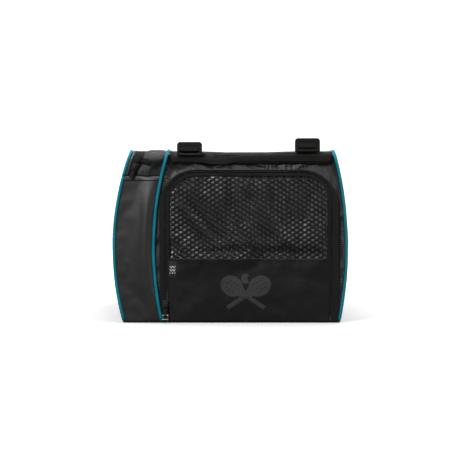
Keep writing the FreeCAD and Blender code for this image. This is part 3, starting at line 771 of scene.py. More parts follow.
def over_path(start, end, step=7 * MM):
    """Up the front, back over the top and down the rear, as rows of y, z and the way out. It starts and ends
    at those heights."""
    bend = [(math.cos(t), math.sin(t)) for t in np.linspace(0, math.pi / 2, 6)]
    rows = [(FRONT, z, -1, 0) for z in np.linspace(start, TOP - CORNER,
                                                   max(2, int((TOP - CORNER - start) / step)))[:-1]]
    rows += [(FRONT + CORNER * (1 - c), TOP - CORNER * (1 - s), -c, s) for c, s in bend]
    rows += [(y, TOP, 0, 1) for y in np.linspace(FRONT + CORNER, REAR - CORNER, int((REAR - FRONT) / step))[1:-1]]
    rows += [(REAR - CORNER * (1 - c), TOP - CORNER * (1 - s), c, s) for c, s in bend[::-1]]
    rows += [(REAR, z, 1, 0) for z in np.linspace(TOP - CORNER, end, max(2, int((TOP - CORNER - end) / step)))[1:]]
    return np.array(rows, float)


def over_strip(name, x_from, x_to, columns, start, end, height, material, simulate=None, step=7 * MM, **how):
    """Cloth that goes over the top of the bag between two lines given as X at a height."""
    y, z, out_y, out_z = over_path(start, end, step).T
    share = np.linspace(0, 1, columns)
    x = x_from(z)[None] + share[:, None] * (x_to(z) - x_from(z))[None]
    along = np.concatenate([[0], np.hypot(np.diff(y), np.diff(z)).cumsum()])
    a, b = x, np.broadcast_to(along, x.shape)
    h = height(a, b, np.broadcast_to(share[:, None], x.shape))
    if simulate:
        h = settle(a, b, h, border(a.shape), **simulate)
    points = np.stack([x, y + out_y * h, z + out_z * h], axis=2)
    return sheet_mesh(name, points, material, (0, 0, 1), flat=np.stack([a, b], axis=2), **how)


def over_line(x_of, start, end, h):
    y, z, out_y, out_z = over_path(start, end).T
    return np.stack([x_of(z), y + out_y * h, z + out_z * h], axis=1)


# ---------------------------------------------------------------- paddle compartment, on the left

def gusset(name, place, outwards, body_nodes, folds, seed):
    panel = Panel(left, mid, FLOOR_GAP, LIP_Z, 40, 90)
    lean = np.sin(math.pi * panel.share ** 3.4) ** 0.85
    panel.h = 8.5 * MM * lean * np.clip(np.sin(math.pi * np.clip(panel.up, 0, 1)), 0, 1) ** 0.45
    panel.folds(folds).cloud(110 * MM, 0.4 * MM, seed)
    panel.settle(grow=0.0007, push=0.3, bending=10.0)
    piece = panel.mesh(name, place, COATED, outwards, thick=1.2 * MM)
    join(piece, "bag", "coated_fabric", *body_nodes)
    hem = Panel(left, mid, LIP_Z - 7 * MM, LIP_Z + 0.6 * MM, 40, 8)
    hem.h = panel.at(hem.a, hem.b) + 0.9 * MM + 0.5 * MM * np.sin(math.pi * hem.up) ** 0.4
    join(hem.mesh(name + "_hem", place, COATED, outwards, thick=1.0 * MM), "bag", "coated_fabric")
    lines = []
    for rise in (1.7, 5.0):
        z = LIP_Z - 7 * MM + rise * MM
        x = np.linspace(left(z) + 3 * MM, mid(z) - 3 * MM, 30)
        lines.append(place(x, np.full(30, z), panel.at(x, np.full(30, z)) + 1.55 * MM))
    join(stitches(name + "_hem_stitches", lines, outwards), "bag", "webbing")
    return panel


FRONT_FOLDS = [((-139, 60), (-133, 228), 8, 1.4), ((-120, 60), (-114, 215), 8, -1.2),
               ((-126, 12), (-150, 52), 8, -1.0)]
REAR_FOLDS = [((-150, 40), (-140, 210), 9, 2.0), ((-124, 70), (-118, 190), 5, -1.6), ((-170, 110), (-140, 150), 7,
                                                                                      -1.0)]
gusset("paddle_gusset_front_cloth", on_front, (0, -1, 0), ["paddle_gusset_front"], FRONT_FOLDS, 3)
gusset("paddle_gusset_rear_cloth", on_rear, (0, 1, 0), ["paddle_gusset_rear"], REAR_FOLDS, 4)


def nylon_height(a, b, share):
    wrinkle = clouds(a, b * 0.45, 17 * MM, 8, 4) * 1.5 * MM
    fade = np.sin(math.pi * share) ** 0.6
    total = b.max()
    top = np.clip((np.minimum(b, total - b) - 26 * MM) / (24 * MM), 0, 1)
    h = ((2.0 - 5.5 * top) * MM + wrinkle * (1 - 0.5 * top)) * fade
    for start, end, width, depth in [((-150, 6), (-118, 20), 3, 1.1), ((-140, 30), (-112, 8), 3, -1.0),
                                     ((-128, 2), (-126, 34), 3, 0.9)]:
        h = h + crease(a, b, (start[0] * MM, start[1] * MM), (end[0] * MM, end[1] * MM), width * MM, depth * MM)
    return h


def zip_x(z):
    return left(z) + ZIP_INSET


nylon = over_strip("paddle_upper_cloth", lambda z: zip_x(z) + 7 * MM, mid, 26, LIP_Z, LIP_Z, nylon_height, NYLON,
                   simulate=dict(grow=0.02, push=0.5, frames=14), step=5 * MM, thick=0.9 * MM)
join(nylon, "bag", "light_nylon", "paddle_upper_front", "paddle_upper_rear", "paddle_top_panel")

tape = over_strip("paddle_zip_tape_cloth", lambda z: zip_x(z) + 0.9 * MM, lambda z: zip_x(z) + 9.5 * MM, 5,
                  LIP_Z - 3 * MM,
                  LIP_Z - 3 * MM, lambda a, b, share: 0.9 * MM + 0.7 * MM * np.sin(math.pi * share), TAPE,
                  thick=0.8 * MM)
join(tape, "bag", "zip_tape", "paddle_zip_tape")
lip = over_strip("paddle_lip_cloth", left, lambda z: zip_x(z) - 5 * MM, 5, LIP_Z, LIP_Z,
                 lambda a, b, share: 0.6 * MM + 0.9 * MM * np.sin(math.pi * share) ** 0.5, COATED, thick=1.1 * MM)
join(lip, "paddle_lip", "coated_fabric")
lip_tape = over_strip("lip_zip_tape_cloth", lambda z: zip_x(z) - 8.5 * MM, lambda z: zip_x(z) - 0.9 * MM, 5, LIP_Z,
                      LIP_Z,
                      lambda a, b, share: 0.9 * MM + 0.6 * MM * np.sin(math.pi * share), TAPE, thick=0.8 * MM)
join(lip_tape, "paddle_lip", "zip_tape", "lip_zip_tape")
for name, side, body in (("paddle_zip_coil", 0.75, "bag"), ("lip_zip_coil", -0.75, "paddle_lip")):
    line = over_line(lambda z: zip_x(z) + side * MM, LIP_Z + 1 * MM, LIP_Z + 1 * MM, 1.0 * MM)
    teeth = coil(name, line, lambda p: np.array((0, -1, 0)) if p[2] < TOP - 5 * MM and p[1] < 0
                 else np.array((0, 1, 0)) if p[2] < TOP - 5 * MM else np.array((0, 0, 1)), radius=0.95 * MM)
    join(teeth, body, "zip_tape")

for name, offset, body in (("paddle_zip_stitches", 7.6, "bag"), ("lip_zip_stitches", -6.0, "paddle_lip")):
    line = over_line(lambda z: zip_x(z) + offset * MM, LIP_Z + 2 * MM, LIP_Z + 2 * MM, 1.75 * MM)
    upright = np.array((0, -1, 0))
    stitched = stitches(name, [line],
                        lambda p: np.array((0, 0, 1)) if p[2] > TOP - 5 * MM else upright * (1 if p[1] < 0 else -1))
    join(stitched, body, "webbing")

# the outer side, which reaches from the bag to the lip where the zip ends
side = Panel(lambda z: -half_depth(z), half_depth, FLOOR_GAP, TOP, 84, 56)
side.h = 3.5 * MM * np.sin(math.pi * side.share) ** 0.5 * np.sin(math.pi * np.clip(side.up * 1.08, 0, 1)) ** 0.7
side.folds([((-210, 30), (-90, 75), 12, -1.8), ((150, 40), (215, 110), 12, -1.6), ((-120, 200), (20, 222), 9, -1.4),
            ((60, 215), (190, 196), 9, -1.2), ((-30, 20), (40, 34), 9, 1.4)]).cloud(110 * MM, 1.8 * MM, 11)
side.settle(grow=0.008, push=0.35, bending=2.0)
side.h = np.maximum(side.h, -0.4 * MM)
hinge_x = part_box("paddle_outer_panel")[0].x
join(side.mesh("paddle_side_cloth", on_left, COATED, (-1, 0, 0), thick=1.3 * MM),
     ("bag", "paddle_lip", (hinge_x, 0, LIP_Z - 10 * MM), (hinge_x, 0, LIP_Z + 8 * MM)), "coated_fabric",
     "paddle_outer_panel", "paddle_lip")
lining = Panel(constant(FRONT + 6 * MM), constant(REAR - 6 * MM), 6 * MM, LIP_Z - 3 * MM, 60, 34)
lining.cloud(30 * MM, 1.2 * MM, 5)
join(lining.mesh("thermal_lining_film", lambda a, b, h: on_left(a, b, h - 4.6 * MM), FOIL, (-1, 0, 0),
                 thick=0.8 * MM),
     "bag", "foil_lining", "thermal_lining")

divider = Panel(lambda z: -half_depth(z) + 2 * MM, lambda z: half_depth(z) - 2 * MM, 3 * MM, TOP - 1 * MM, 50, 40)
divider.cloud(80 * MM, 1.2 * MM, 21)
join(divider.mesh("divider_cloth", lambda a, b, h: grid(mid(b) + h, a, b), NYLON,
                  (-1, 0, 0), thick=1.6 * MM), "bag", "body_fabric", "divider_panel")

# ---------------------------------------------------------------- pipings

def round_loop(depth, low, high, low_corner, high_corner, gap_z=None):
    """A rounded rectangle in Y and Z, from the front at gap_z down, under, up the rear, and over the top."""
    points = []
    gap_z = gap_z or (low + high) / 2
    points += [(-depth, z) for z in np.linspace(gap_z, low + low_corner, 24)[:-1]]
    points += [(-depth + low_corner * (1 - math.cos(t)),
                low + low_corner * (1 - math.sin(t))) for t in np.linspace(0, math.pi / 2, 7)]
    points += [(y, low) for y in np.linspace(-depth + low_corner, depth - low_corner, 40)[1:-1]]
    points += [(depth - low_corner * (1 - math.sin(t)),
                low + low_corner * (1 - math.cos(t))) for t in np.linspace(0, math.pi / 2, 7)]
    points += [(depth, z) for z in np.linspace(low + low_corner, gap_z, 24)[1:]]
    lower = len(points)
    points += [(depth, z) for z in np.linspace(gap_z, high - high_corner, 12)[1:-1]]
    points += [(depth - high_corner * (1 - math.cos(t)),
                high - high_corner * (1 - math.sin(t))) for t in np.linspace(0, math.pi / 2, 8)]
    points += [(y, high) for y in np.linspace(depth - high_corner, -depth + high_corner, 40)[1:-1]]
    points += [(-depth + high_corner * (1 - math.sin(t)),
                high - high_corner * (1 - math.cos(t))) for t in np.linspace(0, math.pi / 2, 8)]
    points += [(-depth, z) for z in np.linspace(high - high_corner, gap_z, 12)[1:-1]]
    return np.array(points), lower


def piping_path(edge, grow, depth, high, gap_z=None, wobble=0.5 * MM, seed=1):
    points, lower = round_loop(depth, PIPE_R + 0.1 * MM, high, 8 * MM, CORNER, gap_z)
    y, z = points.T
    drift = clouds(y, z, 70 * MM, seed, 2) * wobble
    return np.stack([edge(z, grow) + drift, y, z], axis=1), lower


path, lower = piping_path(left, 2.0 * MM, REAR + 1.0 * MM, TOP + 1.2 * MM, gap_z=LIP_Z, seed=2)
join(sweep("paddle_side_piping_cord", resample(path[:lower], 5 * MM), PIPE_R, PIPING, up=(1, 0, 0)), "bag",
     "piping", "paddle_side_piping")
join(sweep("lip_piping_cord", resample(np.vstack([path[lower - 1:], path[:1]]), 5 * MM), PIPE_R, PIPING,
           up=(1, 0, 0)),
     "paddle_lip", "piping", "lip_piping")
path, _ = piping_path(right, 2.0 * MM, REAR + 1.0 * MM, TOP + 1.2 * MM, seed=5)
join(sweep("right_piping_cord", path, PIPE_R, PIPING, closed=True, up=(1, 0, 0)), "bag", "piping", "right_piping")
path, _ = piping_path(mid, 0.0, REAR + 2.2 * MM, TOP + 2.0 * MM, seed=9)
join(sweep("middle_piping_cord", path, PIPE_R, PIPING, closed=True, up=(1, 0, 0)), "bag", "piping", "middle_piping")

# ---------------------------------------------------------------- floor of the bag

bottom = Panel(constant(FRONT + 1 * MM), constant(REAR - 1 * MM), float(left(FLOOR_GAP)), float(right(FLOOR_GAP)),
               60, 50)
bottom.cloud(90 * MM, 0.5 * MM, 31)
join(bottom.mesh("base_cloth", lambda a, b, h: grid(b, a, 2.6 * MM - h), COATED, (0, 0, -1),
                 thick=1.3 * MM), "bag", "coated_fabric", "paddle_gusset_base", "base_panel")
keep("base_board", BOARD, 0.8 * MM)

# ---------------------------------------------------------------- main compartment, front

flap_u = u_outline(FLAP_LOW.x, FLAP_HIGH.x, FLOOR_GAP, FLAP_HIGH.z, FLAP_CORNER, step=2.8 * MM)
reach_out = to_edge(*flap_u, mid, right, TOP - 1 * MM)


PLEATS = [((-96, 258), (-80, 233), 3.0, -3.0), ((-88, 258), (-72, 240), 3.4, 2.4), ((-68, 256), (-54, 238), 3.0,
                                                                                    -2.6),
          ((-60, 257), (-46, 241), 3.0, 1.8), ((-44, 256), (-12, 243), 2.6, -2.8), ((-30, 246), (-4, 256), 2.6,
                                                                                    2.2),
          ((-6, 256), (8, 243), 2.4, -2.2), ((22, 256), (52, 244), 2.8, -2.0), ((40, 257), (66, 246), 2.6, 1.8),
          ((84, 256), (70, 244), 2.8, -2.0), ((100, 245), (124, 257), 2.8, 1.8), ((128, 256), (118, 243), 2.6,
                                                                                  -2.2),
          ((158, 262), (146, 232), 3.2, -2.6), ((166, 250), (154, 226), 3.0, 2.0), ((-104, 240), (-96, 212), 3.0,
                                                                                    1.6),
          ((170, 224), (166, 196), 3.0, 1.4)]


def front_height(a, b, away, share):
    total = np.broadcast_to(reach_out[:, None], away.shape)
    first = 8.6 * MM
    beyond = np.clip((away - first) / np.maximum(total - first, 1 * MM), 0, 1)
    dip = np.clip((total - first - 6 * MM) / (18 * MM), 0, 1) * 3.0 * MM
    h = -dip * np.sin(math.pi * beyond) ** 0.6 - 0.5 * MM
    for start, end, width, depth in PLEATS:
        h = h + crease(a, b, (start[0] * MM, start[1] * MM), (end[0] * MM, end[1] * MM), width * MM,
                       depth * 1.9 * MM) * beyond ** 0.3
    return h + clouds(a, b, 20 * MM, 15) * 1.6 * MM * np.sin(math.pi * beyond)


join(u_strip("main_front_cloth", flap_u, 0.0, reach_out, 18, front_height, on_front, RIBBED_TAUT, (0, -1, 0),
             thick=1.4 * MM),
     "bag", "body_fabric", "main_front_panel")

over_top = np.clip(flap_u[1][:, 1], 0, 1) ** 0.7
leg_wide = np.where(flap_u[1][:, 0] > 0, 16.5, 15.0) * MM
foot = np.clip(1 - flap_u[0][:, 1] / (70 * MM), 0, 1) * np.where(flap_u[1][:, 0] < 0, 5.0, 0.0) * MM
tape_stop = np.minimum(reach_out - 1.2 * MM, leg_wide * (1 - over_top) + 8.6 * MM * over_top - foot)
wave = lambda a, b, away, share: 0.9 * MM + 0.5 * MM * np.sin(math.pi * share) ** 0.5 + clouds(a, b, 30 * MM, 14,
                                                                                               2) * 0.3 * MM
join(u_strip("pocket_zip_tape_cloth", flap_u, 5.6 * MM, tape_stop, 6, wave, on_front, TAPE, (0, -1, 0),
             thick=0.9 * MM),
     "bag", "zip_tape", "pocket_zip_tape")
join(coil("pocket_zip_coil", u_line(flap_u, 4.9 * MM, on_front, 0.9 * MM), (0, -1, 0), radius=1.1 * MM), "bag",
     "zip_tape")
edge_out = tape_stop - 1.4 * MM
lines = [np.array([on_front(p[0] + o[0] * d, p[1] + o[1] * d, 1.75 * MM) for p, o, d in zip(*flap_u, edge_out)])]
middle_line = np.array([on_front(p[0] + o[0] * 7.4 * MM, p[1] + o[1] * 7.4 * MM, 1.75 * MM) for p,
                        o in zip(*flap_u)])
join(stitches("pocket_zip_stitches", [lines[0], middle_line], (0, -1, 0)), "bag", "webbing")

RIM = np.array([(0.3, -19.0), (0.7, -14.0), (0.9, -8.0), (0.9, -3.5), (0.5, -1.0), (-0.8, 0.7), (-3.0, 1.2),
                (-5.5, 0.8), (-7.5, -2.0)]) * MM
band_x = np.linspace(mid(TOP) + 5 * MM, right(TOP) - 1.8 * MM, 90)
rim_a, rim_drop = np.meshgrid(band_x, RIM[:, 1], indexing="ij")
sag = -2.6 * MM * np.exp(-((band_x - 25 * MM) / (52 * MM)) ** 2) * 1.0
rim_h = RIM[None, :, 0] + clouds(rim_a, rim_drop, 16 * MM, 18) * 1.2 * MM
rim_z = TOP + RIM[None, :, 1] + sag[:, None] * np.clip(1 + RIM[None, :, 1] / (16 * MM), 0, 1)
join(sheet_mesh("top_rim_cloth", on_front(band_x[:, None], rim_z, rim_h), NYLON, (0, -1, 0.3), thick=1.0 * MM),
     "bag", "body_fabric")
shape_x = np.array([-96, -70, -45, -30, -12, 10, 30, 60, 100, 130, 166]) * MM
upper = np.interp(band_x, shape_x, np.array([267, 266.3, 265.5, 262.6, 263.6, 267.5, 269, 269.5, 270, 270,
                                             270.5]) * MM)
lower = np.interp(band_x, shape_x, np.array([257.8, 257.6, 256.2, 253.6, 252.8, 257.2, 259, 258.5, 257.5, 258,
                                             258]) * MM)
for _ in range(3):
    upper[1:-1] = (upper[:-2] + upper[1:-1] * 2 + upper[2:]) / 4
    lower[1:-1] = (lower[:-2] + lower[1:-1] * 2 + lower[2:]) / 4
up = np.linspace(0, 1, 9)
band_z = lower[:, None] + (upper - lower)[:, None] * up
band_h = 1.7 * MM + 0.8 * MM * np.sin(math.pi * up)[None] ** 0.4 + clouds(np.broadcast_to(band_x[:, None],
                                                                                          band_z.shape), band_z,
                                                                          18 * MM, 19) * 0.9 * MM
join(sheet_mesh("top_edge_band_cloth", on_front(band_x[:, None], band_z, band_h), BAND, (0, -1, 0), thick=1.1 * MM),
     "bag", "webbing", "top_edge_band")
seam = [on_front(band_x[1:-1], (lower + (upper - lower) * part)[1:-1],
                 band_h[1:-1, int(part * 8)] + 0.15 * MM) for part in (0.14, 0.88)]
join(stitches("top_band_stitches", seam, (0, -1, 0)), "bag", "webbing")

# ---------------------------------------------------------------- the pocket's flap

flap_lo, flap_hi = rounded_edges(FLAP_LOW.x, FLAP_HIGH.x, FLAP_HIGH.z, FLAP_CORNER)
flap = Panel(flap_lo, flap_hi, FLOOR_GAP, FLAP_HIGH.z - 0.5 * MM, 84, 80)
flap.h = 4.0 * MM * np.sin(math.pi * flap.share) ** 0.5 * np.sin(math.pi * flap.up) ** 0.5
flap.folds([((-3, 234), (1, 158), 4.5, -5.0), ((10, 228), (13, 158), 6, 2.6), ((-14, 226), (-12, 170), 5, 2.0),
            ((-92, 203), (-36, 136), 6, 2.8), ((-80, 205), (-24, 142), 4.5, -3.4),
            ((52, 232), (60, 150), 6, 2.4), ((66, 230), (72, 158), 4.5, -3.0), ((94, 226), (106, 140), 7, 2.4),
            ((36, 230), (30, 176), 5, -2.2), ((84, 224), (88, 168), 4.5, -2.2),
            ((128, 200), (110, 128), 5, -1.5), ((-60, 112), (20, 118), 6, -1.2), ((40, 116), (140, 112), 6, -1.0),
            ((-90, 20), (-50, 52), 12, -0.9), ((70, 84), (150, 66), 12, -0.9), ((96, 14), (60, 34), 7,
                                                                                -0.9)]).cloud(48 * MM, 1.3 * MM, 41)
flap_calm = flap.h.copy()
flap.settle(grow=0.010, push=0.35, frames=18, bending=1.0)
crumple = np.clip((flap.b - 62 * MM) / (44 * MM), 0.22, 1)
flap.h = flap_calm * (1 - crumple) + flap.h * crumple

lower_cloth = Panel(flap_lo, flap_hi, FLOOR_GAP, FLAP_SEAM + 3 * MM, 84, 56)
seam_rise = 0.8 * MM * np.exp(-((lower_cloth.b - FLAP_SEAM - 0.6 * MM) / (1.6 * MM)) ** 2)
lower_cloth.h = flap.at(lower_cloth.a, lower_cloth.b) + seam_rise + 0.5 * MM
FLAP_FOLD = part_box("flap_lower_panel")[0].z
lower_piece = lower_cloth.mesh("flap_lower_cloth", on_front, RIBBED_PRINTED, (0, -1, 0), thick=1.2 * MM)
lower_piece.data.materials.append(RIBBED)  # the emblem is printed on the outside only
for face in lower_piece.data.polygons:
    face.material_index = int(face.normal.y > 0)
join(lower_piece, ("bag", "pocket_flap", (0, FRONT, FLAP_FOLD - 8 * MM), (0, FRONT, FLAP_FOLD + 4 * MM)),
     "body_fabric", "flap_lower_panel")
seam_x = np.linspace(FLAP_LOW.x + 2 * MM, FLAP_HIGH.x - 2 * MM, 60)
seam = [on_front(seam_x, np.full(60, z),
                 flap.at(seam_x, np.full(60, z)) + 0.95 * MM) for z in (FLAP_SEAM - 2.6 * MM,)]
join(stitches("flap_seam_stitches", seam, (0, -1, 0)), "pocket_flap", "webbing")

satin_lo, satin_hi = rounded_edges(FLAP_LOW.x, FLAP_HIGH.x, FLAP_HIGH.z, FLAP_CORNER, inset=1.5 * MM)
satin = Panel(satin_lo, satin_hi, FLAP_SEAM - 2 * MM, FLAP_HIGH.z - 1.5 * MM, 80, 50)
satin.h = flap.at(satin.a, satin.b) - 2.3 * MM
from_seam = np.clip((satin.b - FLAP_SEAM) / (14 * MM), 0, 1)
satin.h = satin.h + (clouds(satin.a + satin.b * 0.6, satin.b * 0.35, 30 * MM, 43,
                            3) * 5.5 * MM - 2.4 * MM) * from_seam
satin.h = np.minimum(satin.h, flap.at(satin.a, satin.b) - 1.5 * MM)
join(satin.mesh("flap_lining_satin", on_front, SATIN, (0, -1, 0), thick=0.7 * MM), "pocket_flap", "satin_lining",
     "flap_lining")


def net(name, place, height, low, high, bottom, top, edges):
    """The open net: a staggered lattice of round-cornered holes, with a thread standing up between them."""
    pitch_x, pitch_z = 12.8 * MM, 4.0 * MM
    hole_x, hole_z = 2.95 * MM, 2.10 * MM
    corners = np.array([(4.45, 0), (1.95, 4), (-1.95, 4), (-4.45, 0), (-1.95, -4), (1.95, -4)]) * MM
    ring = np.array([p for k in range(6) for p in (corners[k], (corners[k] + corners[(k + 1) % 6]) / 2)])
    angle = np.arctan2(ring[:, 1] / 4, ring[:, 0] / 4.45)
    hole = np.stack([np.cos(angle) * hole_x, np.sin(angle) * hole_z], axis=1)
    vertices, faces, known = [], [], {}

    def vertex(x, z, rise):
        key = (round(x / MM, 2), round(z / MM, 2), rise)
        if key not in known:
            known[key] = len(vertices)
            vertices.append((x, z, rise))
        return known[key]

    row = 0
    z = bottom
    lo, hi = edges
    while z < top:
        x = low + (pitch_x / 2 if row % 2 else 0)
        while x < high:
            near = min(z, top)
            if lo(np.array(near)) + 2 * MM < x < hi(np.array(near)) - 2 * MM and z < top - 1 * MM:
                middle = np.array((x, z))
                outer = [vertex(*(middle + p), 0.30) for p in ring]
                mids = [vertex(*(middle + p * 0.42 + q * 0.58), 0.10) for p, q in zip(ring, hole)]
                inner = [vertex(*(middle + q), -0.25) for q in hole]
                for first, second in ((outer, mids), (mids, inner)):
                    faces.extend((first[k], first[(k + 1) % 12], second[(k + 1) % 12],
                                  second[k]) for k in range(12))
            x += pitch_x
        z += pitch_z
        row += 1
    data = np.array(vertices)
    a = np.clip(data[:, 0], lo(np.minimum(data[:, 1], top)) + 0.6 * MM, hi(np.minimum(data[:, 1], top)) - 0.6 * MM)
    b = np.clip(data[:, 1], bottom, top - 0.6 * MM)
    points = place(a, b, height(a, b) + data[:, 2] * MM)
    obj = new_object(name, points, faces, NET, np.stack([a, b], axis=1))
    solid = obj.modifiers.new("thickness", "SOLIDIFY")
    solid.thickness, solid.offset = 0.45 * MM, 0
    return apply_modifiers(obj)


join(net("flap_net", on_front, flap.at, FLAP_LOW.x, FLAP_HIGH.x, FLAP_SEAM + 1 * MM, FLAP_HIGH.z - 1 * MM,
         (flap_lo, flap_hi)),
     "pocket_flap", "pocket_mesh", "flap_mesh")
binding_h = lambda a, b, away, share: flap.at(a,
                                              np.minimum(b,
                                                         FLAP_HIGH.z - 0.5 * MM)) * (share < 0.5) + 0.75 * MM + 0.3 * MM * np.sin(math.pi * share)
binding_u = u_outline(FLAP_LOW.x, FLAP_HIGH.x, FLAP_FOLD, FLAP_HIGH.z, FLAP_CORNER)
beside_puller = (binding_u[1][:, 0] < -0.9) & (binding_u[0][:, 1] < 52 * MM)
join(u_strip("flap_binding", binding_u, -1.6 * MM, np.where(beside_puller, 0.2, 3.4) * MM, 6, binding_h, on_front,
             TAPE, (0, -1, 0),
             thick=0.7 * MM), "pocket_flap", "zip_tape")

label_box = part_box("woven_label")
label = Panel(constant(label_box[0].x), constant(label_box[1].x), label_box[0].z, label_box[1].z, 10, 20)
label.h = flap.at(label.a, label.b) + 1.35 * MM + 0.3 * MM * np.sin(2.2 * math.pi * label.share)
label_piece = sheet_mesh("woven_label_cloth", on_front(label.a, label.b, label.h), LABEL, (0, -1, 0),
                         thick=0.6 * MM)
join(label_piece, "pocket_flap", "label_weave", "woven_label")

# the pocket behind it
liner_low, liner_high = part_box("pocket_liner")
ring, _ = u_outline(FLAP_LOW.x, FLAP_HIGH.x, FLAP_FOLD, FLAP_HIGH.z, FLAP_CORNER, step=8 * MM)
under = np.stack([np.linspace(FLAP_HIGH.x, FLAP_LOW.x, 30)[1:-1], np.full(28, FLAP_FOLD)], axis=1)
ring = np.vstack([ring, under])
depths = np.linspace(3 * MM, liner_high.y - FRONT - 2 * MM, 16)
centre = ring.mean(0)
tray = np.array([[(p[0] + (centre[0] - p[0]) * 0.03 * k / 15, FRONT + d, p[1] + (centre[1] - p[1]) * 0.03 * k / 15)
                  for k, d in enumerate(depths)] for p in ring])
tray += clouds(tray[..., 0] + tray[..., 1], tray[..., 2], 40 * MM, 51)[..., None] * np.array((0.8, 0, 0.8)) * MM
join(sheet_mesh("pocket_liner_cloth", tray, NYLON, (0, 0, 1), thick=0.8 * MM, wrap=True), "bag", "light_nylon",
     "pocket_liner")
liner_lo, liner_hi = rounded_edges(FLAP_LOW.x + 4 * MM, FLAP_HIGH.x - 4 * MM, FLAP_HIGH.z - 3 * MM, FLAP_CORNER)
liner_back = Panel(liner_lo, liner_hi, FLAP_FOLD + 3 * MM, FLAP_HIGH.z - 3.5 * MM, 40, 36).cloud(50 * MM, 2 * MM,
                                                                                                 53)
join(liner_back.mesh("pocket_back_cloth", lambda a, b, h: grid(a, liner_high.y - 3 * MM - np.abs(h), b),
                     NYLON, (0, -1, 0), thick=0.8 * MM), "bag", "light_nylon")

# ---------------------------------------------------------------- rear

rear = Panel(lambda z: mid(z) + 0.5 * MM, lambda z: right(z) - 0.5 * MM, FLOOR_GAP, TOP, 70, 66)
rear.crown(4.5 * MM, 0.5).folds([((-80, 40), (20, 90), 12, -2.2), ((150, 30), (80, 110), 12, -2.0),
                                 ((-90, 230), (-20, 170), 10, -2.0),
                                 ((60, 235), (140, 190), 10, 1.8), ((-20, 130), (90, 120), 14,
                                                                    -1.4)]).cloud(80 * MM, 1.8 * MM, 61)
rear.settle(grow=0.014, push=0.3)
join(rear.mesh("main_rear_cloth", on_rear, RIBBED, (0, 1, 0), thick=1.4 * MM), "bag", "body_fabric",
     "main_rear_panel")

# ---------------------------------------------------------------- right side and its door

door_u = u_outline(DOOR_LOW.y, DOOR_HIGH.y, FLOOR_GAP, DOOR_HIGH.z, DOOR_CORNER, step=7 * MM)
side_out = to_edge(*door_u, lambda z: -half_depth(z), half_depth, TOP - 0.5 * MM)


def side_height(a, b, away, share):
    beyond = np.clip((away - 16 * MM) / np.maximum(side_out[:, None] - 16 * MM, 4 * MM), 0, 1)
    return (1.6 * MM + clouds(a, b, 50 * MM, 71) * 1.2 * MM) * np.sin(math.pi * beyond) ** 0.6


join(u_strip("right_side_cloth", door_u, 0.0, side_out, 14, side_height, on_right, RIBBED, (1, 0, 0),
             thick=1.4 * MM),
     "bag", "body_fabric", "right_side_frame")
below = Panel(constant(DOOR_LOW.y), constant(DOOR_HIGH.y), FLOOR_GAP, DOOR_LOW.z, 60, 12)
below.h = 1.2 * MM * np.sin(math.pi * below.up) ** 0.5 * np.clip(8 * np.minimum(below.share, 1 - below.share), 0, 1)
join(below.mesh("right_sill_cloth", on_right, RIBBED, (1, 0, 0), thick=1.4 * MM), "bag", "body_fabric")
door_lo, door_hi = rounded_edges(DOOR_LOW.y, DOOR_HIGH.y, DOOR_HIGH.z, DOOR_CORNER)
door = Panel(door_lo, door_hi, DOOR_LOW.z - 1 * MM, DOOR_HIGH.z - 0.5 * MM, 84, 50)
door.crown(4.0 * MM, 0.5).folds([((-180, 70), (-80, 120), 11, -2.0), ((40, 60), (170, 90), 12, -1.8),
                                 ((-60, 210), (60, 190), 10, -1.6),
                                 ((120, 200), (180, 130), 9, 1.6)]).cloud(90 * MM, 1.6 * MM, 73)
door.settle(grow=0.012, push=0.3)
join(door.mesh("door_cloth", on_right, RIBBED, (1, 0, 0), thick=1.4 * MM),
     ("bag", "side_door", (DOOR_HIGH.x, 0, DOOR_LOW.z - 1 * MM), (DOOR_HIGH.x, 0, DOOR_LOW.z + 5 * MM)),
     "body_fabric", "door_panel")
zip_u = u_outline(DOOR_LOW.y, DOOR_HIGH.y, DOOR_LOW.z, DOOR_HIGH.z, DOOR_CORNER, step=6 * MM)
flat_wave = lambda a, b, away, share: 0.9 * MM + 0.5 * MM * np.sin(math.pi * share) ** 0.5
join(u_strip("door_zip_tape_cloth", zip_u, 8.3 * MM, 14.0 * MM, 5, flat_wave, on_right, TAPE, (1, 0, 0),
             thick=0.9 * MM),
     "bag", "zip_tape", "door_zip_tape")
join(u_strip("door_binding", zip_u, -3 * MM, 6.6 * MM, 6, flat_wave, on_right, TAPE, (1, 0, 0), thick=0.9 * MM),
     "side_door", "zip_tape")
door_coil = u_line(zip_u, 7.5 * MM, on_right, 0.9 * MM)
join(coil("door_zip_coil", door_coil, (1, 0, 0), radius=1.1 * MM), "bag", "zip_tape")
join(stitches("door_zip_stitches", [u_line(zip_u, 12.0 * MM, on_right, 1.7 * MM)], (1, 0, 0)), "bag", "webbing")
join(stitches("door_binding_stitches", [u_line(zip_u, -1.0 * MM, on_right, 1.6 * MM)], (1, 0, 0)), "side_door",
     "webbing")

# ---------------------------------------------------------------- back panel, on top, and the straps

back_low, back_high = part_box("back_panel")


def channels(a, b, lines_a, lines_b, width):
    gap = np.full(a.shape, 9.0)
    for x in lines_a:
        gap = np.minimum(gap, np.abs(a - x))
    for y in lines_b:
        gap = np.minimum(gap, np.abs(b - y))
    return np.clip(gap / width, 0, 1)


